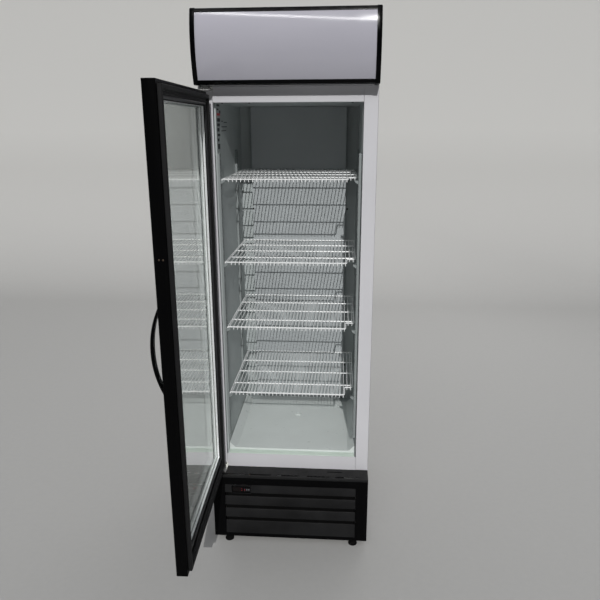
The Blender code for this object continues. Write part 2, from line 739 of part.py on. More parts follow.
def canopy_trim(name, z_low, z_high):
    """Extrusion across the light box, its nose following the face."""
    reach = HALF - CANOPY_END - GAP
    nose = face_arc(z_low, z_high, 2, 0.0008)
    outline = nose + [(nose[-1][0] + 0.030, z_high), (nose[0][0] + 0.030, z_low)]
    return prism(name, outline, "X", -reach, reach, "black_plastic")


def sign_panel():
    """Curved translucent acrylic sheet held between the two trims."""
    reach = HALF - CANOPY_END - GAP
    z0 = CANOPY_LOW + CANOPY_TRIM + GAP
    z1 = TOTAL_HEIGHT - CANOPY_TRIM - GAP
    outer = face_arc(z0, z1, 10, 0.003)
    inner = [(y + 0.003, z) for y, z in reversed(outer)]
    return prism("sign_panel", outer + inner, "X", -reach, reach, "sign_acrylic")


def canopy_housing():
    """Sheet box behind the sign: floor, back and roof in one folded piece."""
    reach = HALF - CANOPY_END - GAP
    front_low = CANOPY_FACE_BOTTOM + 0.036
    front_high = CANOPY_FACE_TOP + 0.034
    t = 0.0015
    low, high, back = CANOPY_LOW, TOTAL_HEIGHT, CANOPY_BACK_Y
    outline = [(front_low, low), (back, low), (back, high), (front_high, high),
               (front_high, high - t), (back - t, high - t), (back - t, low + t),
               (front_low, low + t)]
    return prism("canopy_housing", outline, "X", -reach, reach, "white_steel")


def lamp_tube():
    """Tubular lamp with its two end holders standing on the housing's floor."""
    y, z = 0.030, 1.900
    tube_body = cylinder("lamp_tube", (0.0, y, z), 0.013, 0.530, "X", "lamp", segments=12)
    for side, sign in (("left", -1), ("right", 1)):
        xs = sorted((sign * 0.262, sign * 0.280))
        low = (xs[0], y - 0.016, CANOPY_LOW + SHEET + GAP)
        join(tube_body, box(f"lamp_holder_{side}", low, (xs[1], y + 0.016, z + 0.018)))
    return tube_body


SWITCH_Z = (1.886, 1.834)
SWITCH_Y = 0.010


def rocker(name, z, end_cap):
    """Rocker in the right end cap; it tips about a Y axis just inside the cap's face."""
    half_y, half_z = 0.0065, 0.0105
    well_low = (HALF - 0.011, SWITCH_Y - half_y - 0.0006, z - half_z - 0.0012)
    well_high = (HALF + 0.01, SWITCH_Y + half_y + 0.0006, z + half_z + 0.0012)
    cut(end_cap, box(name + "_well", well_low, well_high))
    pivot_x = HALF - 0.003
    outline = [(pivot_x - 0.005, z - 0.004), (pivot_x + 0.004, z - half_z),
               (pivot_x + 0.0055, z - half_z), (pivot_x + 0.0030, z),
               (pivot_x + 0.0065, z + half_z * 0.92), (pivot_x + 0.0045, z + half_z * 0.95),
               (pivot_x - 0.005, z + 0.004)]
    y0, y1 = SWITCH_Y - half_y, SWITCH_Y + half_y
    return prism(name, outline, "Y", y0, y1, "red_rocker", pivot=(pivot_x, SWITCH_Y, z))


# ---- door -------------------------------------------------------------------------
def door_point(along, depth, height):
    """Door coordinates: along from the hinge edge, depth from the outer face."""
    return (along - PIN_INSET, depth - PIN_INSET, height)


def door_ring(name, depth, outer, inner, slot):
    """A rectangular ring in the door: outer and inner are (left, right, bottom, top)."""
    low = door_point(outer[0], depth[0], outer[2])
    high = door_point(outer[1], depth[1], outer[3])
    inner_low = door_point(inner[0], 0.0, inner[2])
    inner_high = door_point(inner[1], 0.0, inner[3])
    return ring(name, low, high, (inner_low[0], inner_low[2]), (inner_high[0], inner_high[2]),
                slot, door_axis)


DOOR_OUTER = (0.0, DOOR_WIDTH, DOOR_BOTTOM, DOOR_TOP)
DOOR_SIGHT = (DOOR_STILE, DOOR_WIDTH - DOOR_STILE, DOOR_BOTTOM + DOOR_FOOT, DOOR_TOP - DOOR_HEAD)


def inset(rect, left, right, bottom, top):
    return (rect[0] + left, rect[1] - right, rect[2] + bottom, rect[3] - top)


def door_frame():
    """Black frame with a groove for the panes and a blind hole for each hinge pin."""
    frame = door_ring("door_frame", (0.0, DOOR_T), DOOR_OUTER, DOOR_SIGHT, "black_frame")
    groove = inset(DOOR_SIGHT, *([-GLASS_TUCK - GAP] * 4))
    low = door_point(groove[0], PANE_OUTER_T0 - GAP, groove[2])
    high = door_point(groove[1], PANE_INNER_T0 + GLASS_T + GAP, groove[3])
    cut(frame, box("pane_groove", low, high, parent=door_axis))
    for end, z in (("top", DOOR_TOP), ("bottom", DOOR_BOTTOM)):
        hole = cylinder(f"pin_hole_{end}", (0.0, 0.0, z), 0.0044, 0.050, parent=door_axis)
        cut(frame, hole)
    return frame


def door_pane(name, depth):
    rect = inset(DOOR_SIGHT, *([-GLASS_TUCK] * 4))
    low = door_point(rect[0], depth, rect[2])
    high = door_point(rect[1], depth + GLASS_T, rect[3])
    return box(name, low, high, "glass", door_axis)


def glass_spacer():
    """Sealed spacer bar between the panes."""
    outer = inset(DOOR_SIGHT, *([-GLASS_TUCK] * 4))
    inner = inset(DOOR_SIGHT, *([-0.001] * 4))
    depth = (PANE_OUTER_T0 + GLASS_T + GAP, PANE_INNER_T0 - GAP)
    return door_ring("glass_spacer", depth, outer, inner, "spacer")


def glass_bead():
    """Inner trim ring that holds the glass and carries the gasket's inner lip."""
    inner = inset(DOOR_SIGHT, -0.0035, -0.0035, -0.0035, -0.0035)
    outer = inset(inner, -0.0085, -0.0085, -0.0085, -0.0085)
    return door_ring("glass_bead", (DOOR_T + GAP, DOOR_T + 0.005), outer, inner, "black_frame")


def door_gasket():
    """Magnetic gasket round the back of the door."""
    outer = inset(DOOR_OUTER, 0.011, 0.011, 0.011, 0.0115)
    inner = inset(DOOR_SIGHT, -0.0125, -0.0125, -0.0125, -0.0125)
    depth = (DOOR_T + GAP, DOOR_T + GASKET_T)
    return door_ring("door_gasket", depth, outer, inner, "gasket")


def door_handle():
    """Bowed bar whose ends run flat onto the door's outer face."""
    half = HANDLE_LENGTH / 2
    steps = 12
    outer, inner = [], []
    for step in range(steps + 1):
        share = -1.0 + 2.0 * step / steps
        height = HANDLE_MID_Z + share * half
        bow = HANDLE_RISE * (1.0 - share * share)
        outer.append((-GAP - bow - 0.0015 * (1 - abs(share)), height))
    for step in range(steps + 1):
        share = 1.0 - 2.0 * step / steps
        height = HANDLE_MID_Z + share * half
        bow = HANDLE_RISE * (1.0 - share * share) - HANDLE_BAR
        inner.append((-GAP - max(bow, 0.0), height))
    outline = [(y - PIN_INSET, z) for y, z in outer[1:-1]]
    outline = [(outer[0][0] - PIN_INSET, outer[0][1])] + outline
    outline += [(y - PIN_INSET, z) for y, z in inner]
    x1 = DOOR_WIDTH - HANDLE_FROM_EDGE + HANDLE_WIDTH / 2 - PIN_INSET
    return prism("door_handle", outline, "X", x1 - HANDLE_WIDTH, x1, "black_plastic", door_axis)


def hinge(name, plate_z, flange_z, pin_z):
    """Hinge plate on the cabinet's face with a pin up or down into the door."""
    x0, x1 = -HALF + 0.002, -0.258
    plate = box(name, (x0, -DOOR_FACE - 0.001, plate_z[0]), (x1, -GAP, plate_z[1]), "zinc")
    join(plate, box(name + "_flange", (x0, -0.0035, flange_z[0]), (x1, -GAP, flange_z[1])))
    middle = (DOOR_PIVOT[0], DOOR_PIVOT[1], sum(pin_z) / 2)
    return join(plate, cylinder(name + "_pin", middle, 0.004, pin_z[1] - pin_z[0]))


# ---- assembly ---------------------------------------------------------------------
def build_cold_box():
    outer_shell()
    back_panel()
    foam = insulation()
    liner = inner_liner()
    front_rail("head_rail", CEILING_Z, CAB_TOP - SHEET - GAP)
    front_rail("sill_rail", BASE_TOP + GAP, FLOOR_Z)
    floor_pan()
    drain_spout(FLOOR_Z + GAP + 0.0035 + GAP + 0.0018)
    drill_drain_path(foam, liner)
    duct_panel()
    finned_block("evaporator_coil", (-0.160, 0.513, 1.300), (0.160, 0.545, 1.500), 16, "aluminium")
    fan_middle = (0.0, 0.5285, EVAP_FAN_Z)
    fan_frame("evaporator_fan_frame", fan_middle, 0.060, 0.055, 0.030, "black_plastic", 0.016, True)
    rotor_middle = (0.0, 0.5255, EVAP_FAN_Z)
    fan_rotor("evaporator_fan_rotor", rotor_middle, 0.018, 0.051, 0.020, 5, "black_plastic")
    for side, sign in (("left", -1), ("right", 1)):
        pilaster(f"pilaster_front_{side}", sign, PILASTER_FRONT_Y)
        pilaster(f"pilaster_rear_{side}", sign, PILASTER_REAR_Y)
    for number, height in enumerate(SHELF_HEIGHTS, 1):
        shelf(f"shelf_{number}", height)


def build_machine_base():
    base_pan()
    for end, y in (("front", -0.045), ("rear", 0.530)):
        for side, sign in (("left", -1), ("right", 1)):
            foot(f"foot_{end}_{side}", sign * 0.255, y)
    grille = front_grille()
    clear_controller(grille)
    controller_body()
    controller_window()
    for index, key in enumerate(("key_set", "key_up", "key_down")):
        controller_key(key, index)
    compressor()
    low, high = (-0.040, -0.010, PAN_TOP + GAP), (0.215, 0.035, 0.280)
    finned_block("condenser_coil", low, high, 16, "aluminium")
    fan_middle = (FAN_X, 0.060, FAN_Z)
    fan_frame("condenser_fan_shroud", fan_middle, 0.118, 0.105, 0.040, "galvanised", 0.020, True)
    fan_rotor("condenser_fan_blade", (FAN_X, 0.055, FAN_Z), 0.024, 0.098, 0.024, 5, "aluminium")
    motor_middle = (FAN_X, 0.080 + GAP + 0.0275, FAN_Z)
    motor = cylinder("condenser_fan_motor", motor_middle, 0.034, 0.055, "Y", "black_plastic")
    leg_low = (FAN_X - 0.020, 0.095, PAN_TOP + GAP)
    join(motor, box("motor_leg", leg_low, (FAN_X + 0.020, 0.125, FAN_Z - 0.010)))
    tray_low = (-0.055, 0.300, PAN_TOP + GAP)
    tray = box("evaporation_tray", tray_low, (0.200, 0.480, 0.080), "white_plastic")
    cut(tray, box("tray_hollow", (-0.053, 0.302, PAN_TOP + 0.0025), (0.198, 0.478, 0.2)))
    drier = cylinder("filter_drier", (-0.120, 0.200, 0.090), 0.011, 0.110, "Y", "copper",
                     segments=12)
    join(drier, cylinder("drier_neck", (-0.120, 0.200, 0.090), 0.0045, 0.150, "Y", segments=8))
    x, y = COMPRESSOR_XY
    corners = [(x, y - 0.0745, 0.150), (x, 0.250, 0.150), (x, 0.250, 0.262), (x, 0.010, 0.262),
               (-0.0405, 0.010, 0.262)]
    tube("discharge_pipe", rounded_path(corners, 0.012), 0.003, "copper")
    corners = [(x - 0.0745, y, 0.150), (-0.285, y, 0.150), (-0.285, 0.545, 0.150),
               (-0.285, 0.545, 0.305)]
    tube("suction_pipe", rounded_path(corners, 0.010), 0.004, "copper")
    cord_gland(rear_grille())


def build_light_box():
    canopy_end("canopy_end_left", -1)
    right = canopy_end("canopy_end_right", 1)
    canopy_trim("canopy_trim_bottom", CANOPY_LOW, CANOPY_LOW + CANOPY_TRIM)
    canopy_trim("canopy_trim_top", TOTAL_HEIGHT - CANOPY_TRIM, TOTAL_HEIGHT)
    sign_panel()
    canopy_housing()
    lamp_tube()
    rocker("light_switch_upper", SWITCH_Z[0], right)
    rocker("light_switch_lower", SWITCH_Z[1], right)


def build_door():
    door_frame()
    door_gasket()
    glass_bead()
    door_pane("glass_outer", PANE_OUTER_T0)
    door_pane("glass_inner", PANE_INNER_T0)
    glass_spacer()
    door_handle()
    hinge("hinge_top", (DOOR_TOP + 0.003, DOOR_TOP + 0.007), (DOOR_TOP + 0.005, CAB_TOP - 0.001),
          (DOOR_TOP - 0.018, DOOR_TOP + 0.005))
    hinge("hinge_bottom", (BASE_TOP + GAP, BASE_TOP + 0.0045), (BASE_TOP + 0.002, BASE_TOP + 0.018),
          (BASE_TOP + 0.003, DOOR_BOTTOM + 0.018))


build_cold_box()
build_machine_base()
build_light_box()
build_door()
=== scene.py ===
"""Looks for the glass door merchandiser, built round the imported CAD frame."""

import json
import math

import bmesh
import bpy
from mathutils import Matrix, Vector


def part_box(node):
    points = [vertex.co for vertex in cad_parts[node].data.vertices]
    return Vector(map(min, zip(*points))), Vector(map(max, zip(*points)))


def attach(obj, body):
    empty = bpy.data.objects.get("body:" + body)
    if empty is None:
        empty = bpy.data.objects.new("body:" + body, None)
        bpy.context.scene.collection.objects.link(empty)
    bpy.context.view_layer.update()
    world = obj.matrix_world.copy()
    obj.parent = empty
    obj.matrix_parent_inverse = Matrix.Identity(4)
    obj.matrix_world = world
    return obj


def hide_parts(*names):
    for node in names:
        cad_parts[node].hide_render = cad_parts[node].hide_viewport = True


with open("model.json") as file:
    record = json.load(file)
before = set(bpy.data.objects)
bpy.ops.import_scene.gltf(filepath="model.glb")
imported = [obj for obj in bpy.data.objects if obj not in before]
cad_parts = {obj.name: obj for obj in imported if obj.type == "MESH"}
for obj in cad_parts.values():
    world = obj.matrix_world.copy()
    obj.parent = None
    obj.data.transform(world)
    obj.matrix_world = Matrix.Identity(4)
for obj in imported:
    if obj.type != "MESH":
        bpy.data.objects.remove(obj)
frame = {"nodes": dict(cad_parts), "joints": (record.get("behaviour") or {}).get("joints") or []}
NODES = frame["nodes"]
JOINTS = {joint["name"]: joint for joint in frame["joints"]}
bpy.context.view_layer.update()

# ---- places taken from the CAD ----------------------------------------------------
shell_low, shell_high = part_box("outer_shell")
HALF = (shell_high.x - shell_low.x) / 2
ORIGIN = Vector(((shell_low.x + shell_high.x) / 2, shell_low.y, 0.0))   # cabinet frame
CAB_TOP = shell_high.z
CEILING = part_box("head_rail")[0].z
INSIDE = 0.2572    # half width between the liner walls
CANOPY_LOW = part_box("canopy_housing")[0].z
CANOPY_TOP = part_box("canopy_housing")[1].z
LEDGE_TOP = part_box("front_grille")[1].z
BASE_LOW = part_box("front_grille")[0].z
LEDGE_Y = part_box("front_grille")[0].y - ORIGIN.y
HINGE = JOINTS["door_hinge"]
OPEN_ANGLE = -math.radians(HINGE["range_deg"][1])
PIN_INSET = 0.008
DOOR_SEAT = (
    Matrix.Translation((HINGE["pos_m"][0], HINGE["pos_m"][1], 0.0))
    @ Matrix.Rotation(OPEN_ANGLE, 4, "Z")
    @ Matrix.Translation((-PIN_INSET, -PIN_INSET, 0.0))
)
CABINET_SEAT = Matrix.Translation(ORIGIN)
DOOR_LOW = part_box("door_frame")[0].z
DOOR_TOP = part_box("door_frame")[1].z
DOOR_WIDTH = 0.619
SHELVES = {f"shelf_{i}": sum(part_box(f"shelf_{i}")[k].z for k in (0, 1)) / 2 for i in (1, 2, 3, 4)}
SHELF_BODY = {"shelf_1": "shelf_one", "shelf_2": "shelf_two",
              "shelf_3": "shelf_three", "shelf_4": "shelf_four"}


def cab_box(name):
    """A CAD node's box in the cabinet's own frame."""
    low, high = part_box(name)
    return low - ORIGIN, high - ORIGIN


# ---- camera, light and stage ------------------------------------------------------
def make_camera():
    """The photo's viewpoint, fitted to the cabinet's edges."""
    yaw, pitch, roll = -0.0712, 0.2814, -0.0041
    forward = Vector((math.sin(yaw) * math.cos(pitch), math.cos(yaw) * math.cos(pitch),
                      -math.sin(pitch)))
    right = Vector((math.cos(yaw), -math.sin(yaw), 0.0))
    up = right.cross(forward)
    right, up = (math.cos(roll) * right + math.sin(roll) * up,
                 math.cos(roll) * up - math.sin(roll) * right)
    data = bpy.data.cameras.new("camera")
    data.sensor_width = 36.0
    data.lens = 36.3
    data.clip_start = 0.05
    data.clip_end = 60.0
    camera = bpy.data.objects.new("camera", data)
    link(camera)
    turn = Matrix((right, up, -forward)).transposed().to_4x4()
    camera.matrix_world = Matrix.Translation(ORIGIN + Vector((0.194, -2.170, 1.653))) @ turn
    bpy.context.scene.camera = camera


def link(obj):
    bpy.context.scene.collection.objects.link(obj)


def smooth(mesh, angle=None):
    """Smooth shading, with edges sharper than the angle in degrees kept crisp."""
    for polygon in mesh.polygons:
        polygon.use_smooth = True
    if angle is not None:
        mesh.set_sharp_from_angle(angle=math.radians(angle))


def make_light(name, kind, energy, location, direction, color=(1, 1, 1), **settings):
    data = bpy.data.lights.new(name, kind)
    data.energy = energy
    data.color = color
    for key, value in settings.items():
        setattr(data, key, value)
    lamp = bpy.data.objects.new(name, data)
    lamp.location = location
    lamp.rotation_euler = Vector(direction).to_track_quat("-Z", "Y").to_euler()
    link(lamp)
    return lamp


def node(nt, kind, inputs=None, **settings):
    """A shader node with its settings and its inputs, which are sockets or plain values."""
    made = nt.nodes.new(kind)
    for key, value in settings.items():
        setattr(made, key, value)
    for key, value in (inputs or {}).items():
        if isinstance(value, bpy.types.NodeSocket):
            nt.links.new(value, made.inputs[key])
        else:
            made.inputs[key].default_value = value
    return made


def make_world():
    """A soft ceiling: bright overhead, dim at eye level and below."""
    world = bpy.data.worlds.new("studio")
    bpy.context.scene.world = world
    world.use_nodes = True
    nt = world.node_tree
    coord = node(nt, "ShaderNodeTexCoord")
    split = node(nt, "ShaderNodeSeparateXYZ", {0: coord.outputs["Generated"]})
    ramp = node(nt, "ShaderNodeValToRGB", {"Fac": split.outputs["Z"]})
    stops = ramp.color_ramp.elements
    stops[0].position, stops[0].color = 0.0, (0.030, 0.031, 0.032, 1)
    stops[1].position, stops[1].color = 0.75, (0.46, 0.475, 0.50, 1)
    middle = stops.new(0.30)
    middle.color = (0.055, 0.057, 0.062, 1)
    path = node(nt, "ShaderNodeLightPath")
    seen = node(nt, "ShaderNodeMath", {0: path.outputs["Is Camera Ray"],
                                       1: path.outputs["Is Transmission Ray"]},
                operation="MAXIMUM").outputs[0]
    pale = mix(nt, seen, ramp.outputs["Color"], (0.56, 0.56, 0.55, 1))
    nt.links.new(pale, nt.nodes["Background"].inputs["Color"])
    nt.nodes["Background"].inputs["Strength"].default_value = 1.0


def stage_paint():
    """Matt studio paint, a shade paler on the upright than on the floor."""
    mat = finish("stage_grey", (0.42, 0.415, 0.405), 0.9, mottle=(40, 0.012), specular=0.2)
    nt, shader, coord = parts(mat)
    height = node(nt, "ShaderNodeSeparateXYZ", {0: coord}).outputs["Z"]
    share = remap(nt, height, 0.0, 1.0, 0.0, 1.6)
    old = shader.inputs["Base Color"].links[0].from_socket
    nt.links.new(mix(nt, share, old, (0.60, 0.595, 0.58, 1)), shader.inputs["Base Color"])
    return mat


def make_stage():
    """Pale floor that curves up into a plain backdrop far behind the unit."""
    bm = bmesh.new()
    reach, radius, wall_y, top = 18.0, 1.2, 4.6, 6.0
    path = [(-12.0, 0.0), (wall_y - radius, 0.0)]
    for step in range(1, 13):
        angle = math.pi / 2 * step / 12
        path.append((wall_y - radius + radius * math.sin(angle), radius - radius * math.cos(angle)))
    path.append((wall_y, top))
    rows = [[bm.verts.new((sign * reach, y, z)) for sign in (-1, 1)] for y, z in path]
    for a, b in zip(rows, rows[1:]):
        bm.faces.new((a[0], a[1], b[1], b[0]))
    mesh = bpy.data.meshes.new("stage_floor")
    bmesh.ops.recalc_face_normals(bm, faces=bm.faces)
    bm.to_mesh(mesh)
    bm.free()
    smooth(mesh)
    floor = bpy.data.objects.new("stage_floor", mesh)
    link(floor)
    mesh.materials.append(stage_paint())


# ---- materials --------------------------------------------------------------------
DUST = (0.45, 0.43, 0.40, 1.0)


def parts(mat):
    """A material's node tree, its main shader and a new object-space coordinate."""
    nt = mat.node_tree
    return nt, nt.nodes["Principled BSDF"], node(nt, "ShaderNodeTexCoord").outputs["Object"]


def new_material(name):
    mat = bpy.data.materials.new(name)
    mat.use_nodes = True
    return (mat, *parts(mat))


def noise(nt, coord, scale, detail=3.0, stretch=None):
    vector = coord
    if stretch:
        vector = node(nt, "ShaderNodeMapping", {"Vector": coord, "Scale": stretch}).outputs[0]
    made = node(nt, "ShaderNodeTexNoise", {"Vector": vector, "Scale": scale, "Detail": detail})
    return made.outputs["Fac"]


def shade(color, factor):
    return tuple(min(1.0, c * factor) for c in color) + (1.0,)


def remap(nt, value, low, high, start=0.3, end=0.7):
    """Spreads start..end over low..high; noise keeps mostly within 0.3..0.7."""
    return node(nt, "ShaderNodeMapRange", {"Value": value, "From Min": start, "From Max": end,
                                           "To Min": low, "To Max": high}).outputs[0]


def mix(nt, factor, first, second):
    return node(nt, "ShaderNodeMixRGB",
                {"Fac": factor, "Color1": first, "Color2": second}).outputs[0]


def bump(nt, height, depth):
    inputs = {"Height": height, "Distance": depth, "Strength": 1.0}
    return node(nt, "ShaderNodeBump", inputs).outputs[0]


def finish(name, color, rough, metallic=0.0, mottle=(6, 0.06), grain=None, rough_var=0.05,
           stretch=None, dust=0.0, specular=0.5, coat=0.0):
    """Painted, moulded or plain metal finish with mottling, surface grain and settled dust."""
    mat, nt, shader, coord = new_material(name)
    cloud = noise(nt, coord, mottle[0], 4.0, stretch)
    fac = remap(nt, cloud, 0.0, 1.0)
    base = mix(nt, fac, shade(color, 1.0 - mottle[1]), shade(color, 1.0 + mottle[1]))
    rough_socket = remap(nt, noise(nt, coord, mottle[0] * 5, 5.0, stretch),
                         max(0.02, rough - rough_var), min(1.0, rough + rough_var))
    if dust:
        normal = node(nt, "ShaderNodeNewGeometry").outputs["Normal"]
        up = node(nt, "ShaderNodeSeparateXYZ", {0: normal}).outputs["Z"]
        patch = noise(nt, coord, 22.0, 6.0)
        amount = node(nt, "ShaderNodeMath", {0: up, 1: patch}, operation="MULTIPLY").outputs[0]
        base = mix(nt, remap(nt, amount, 0.0, dust, 0.30, 0.75), base, DUST)
    nt.links.new(base, shader.inputs["Base Color"])
    nt.links.new(rough_socket, shader.inputs["Roughness"])
    shader.inputs["Metallic"].default_value = metallic
    shader.inputs["Specular IOR Level"].default_value = specular
    if coat:
        shader.inputs["Coat Weight"].default_value = coat
        shader.inputs["Coat Roughness"].default_value = 0.08
    if grain:
        height = noise(nt, coord, grain[0], 2.0, stretch)
        nt.links.new(bump(nt, height, grain[1]), shader.inputs["Normal"])
    return mat


def galvanised(name, color):
    """Zinc-coated sheet with soft spangle."""
    mat = finish(name, color, 0.42, 0.85, mottle=(9, 0.08), rough_var=0.08)
    nt, shader, coord = parts(mat)
    cells = node(nt, "ShaderNodeTexVoronoi", {"Vector": coord, "Scale": 85.0})
    grey = node(nt, "ShaderNodeRGBToBW", {0: cells.outputs["Color"]}).outputs[0]
    old = shader.inputs["Base Color"].links[0].from_socket
    nt.links.new(mix(nt, 0.35, old, mix(nt, grey, shade(color, 0.72), shade(color, 1.15))),
                 shader.inputs["Base Color"])
    return mat


def clear_glass(name, tint):
    """Float glass that lets lamp light straight through."""
    mat, nt, shader, coord = new_material(name)
    shader.inputs["Base Color"].default_value = (*tint, 1.0)
    shader.inputs["Transmission Weight"].default_value = 1.0
    shader.inputs["IOR"].default_value = 1.5
    shader.inputs["Roughness"].default_value = 0.0
    haze = noise(nt, coord, 2.2, 5.0)
    nt.links.new(bump(nt, haze, 0.00001), shader.inputs["Normal"])
    lamp = node(nt, "ShaderNodeBsdfTransparent", {"Color": (*tint, 1.0)})
    path = node(nt, "ShaderNodeLightPath")
    both = node(nt, "ShaderNodeMixShader", {0: path.outputs["Is Shadow Ray"],
                                            1: shader.outputs[0], 2: lamp.outputs[0]})
    nt.links.new(both.outputs[0], nt.nodes["Material Output"].inputs["Surface"])
    return mat


def milky_acrylic(name, top, bottom):
    """Opal acrylic, its colour painted a little brighter towards the top: painted light for the
    brighter reflection its curved face shows there.
    """
    mat, nt, shader, coord = new_material(name)
    # painted light: the colour runs by height from the bottom shade up to the brighter top one
    height = node(nt, "ShaderNodeSeparateXYZ", {0: coord}).outputs["Z"]
    share = remap(nt, height, 0.0, 1.0, CANOPY_LOW, CANOPY_TOP)
    base = mix(nt, share, (*bottom, 1), (*top, 1))
    smear = remap(nt, noise(nt, coord, 3.5, 6.0, (1.0, 1.0, 3.0)), 0.0, 0.10)
    base = mix(nt, smear, base, (*[c * 0.72 for c in bottom], 1))
    nt.links.new(base, shader.inputs["Base Color"])
    nt.links.new(remap(nt, noise(nt, coord, 9.0, 5.0), 0.05, 0.11), shader.inputs["Roughness"])
    shader.inputs["Specular IOR Level"].default_value = 0.35
    return mat


def ribbed(name, color, rough, pitch, depth, axis, metallic=0.0):
    """A finish broken into fine parallel ribs, such as fins, with painted shade in the gaps between
    them.
    """
    mat = finish(name, color, rough, metallic, mottle=(8, 0.08))
    nt, shader, coord = parts(mat)
    wave = node(nt, "ShaderNodeTexWave", {"Vector": coord, "Scale": 1.0 / pitch / 3.2},
                bands_direction=axis).outputs["Fac"]
    old = shader.inputs["Base Color"].links[0].from_socket
    # painted shade: the wave darkens the colour to 0.4 in the bands between the ribs
    nt.links.new(mix(nt, wave, shade(color, 0.4), old), shader.inputs["Base Color"])
    nt.links.new(bump(nt, wave, depth), shader.inputs["Normal"])
    return mat


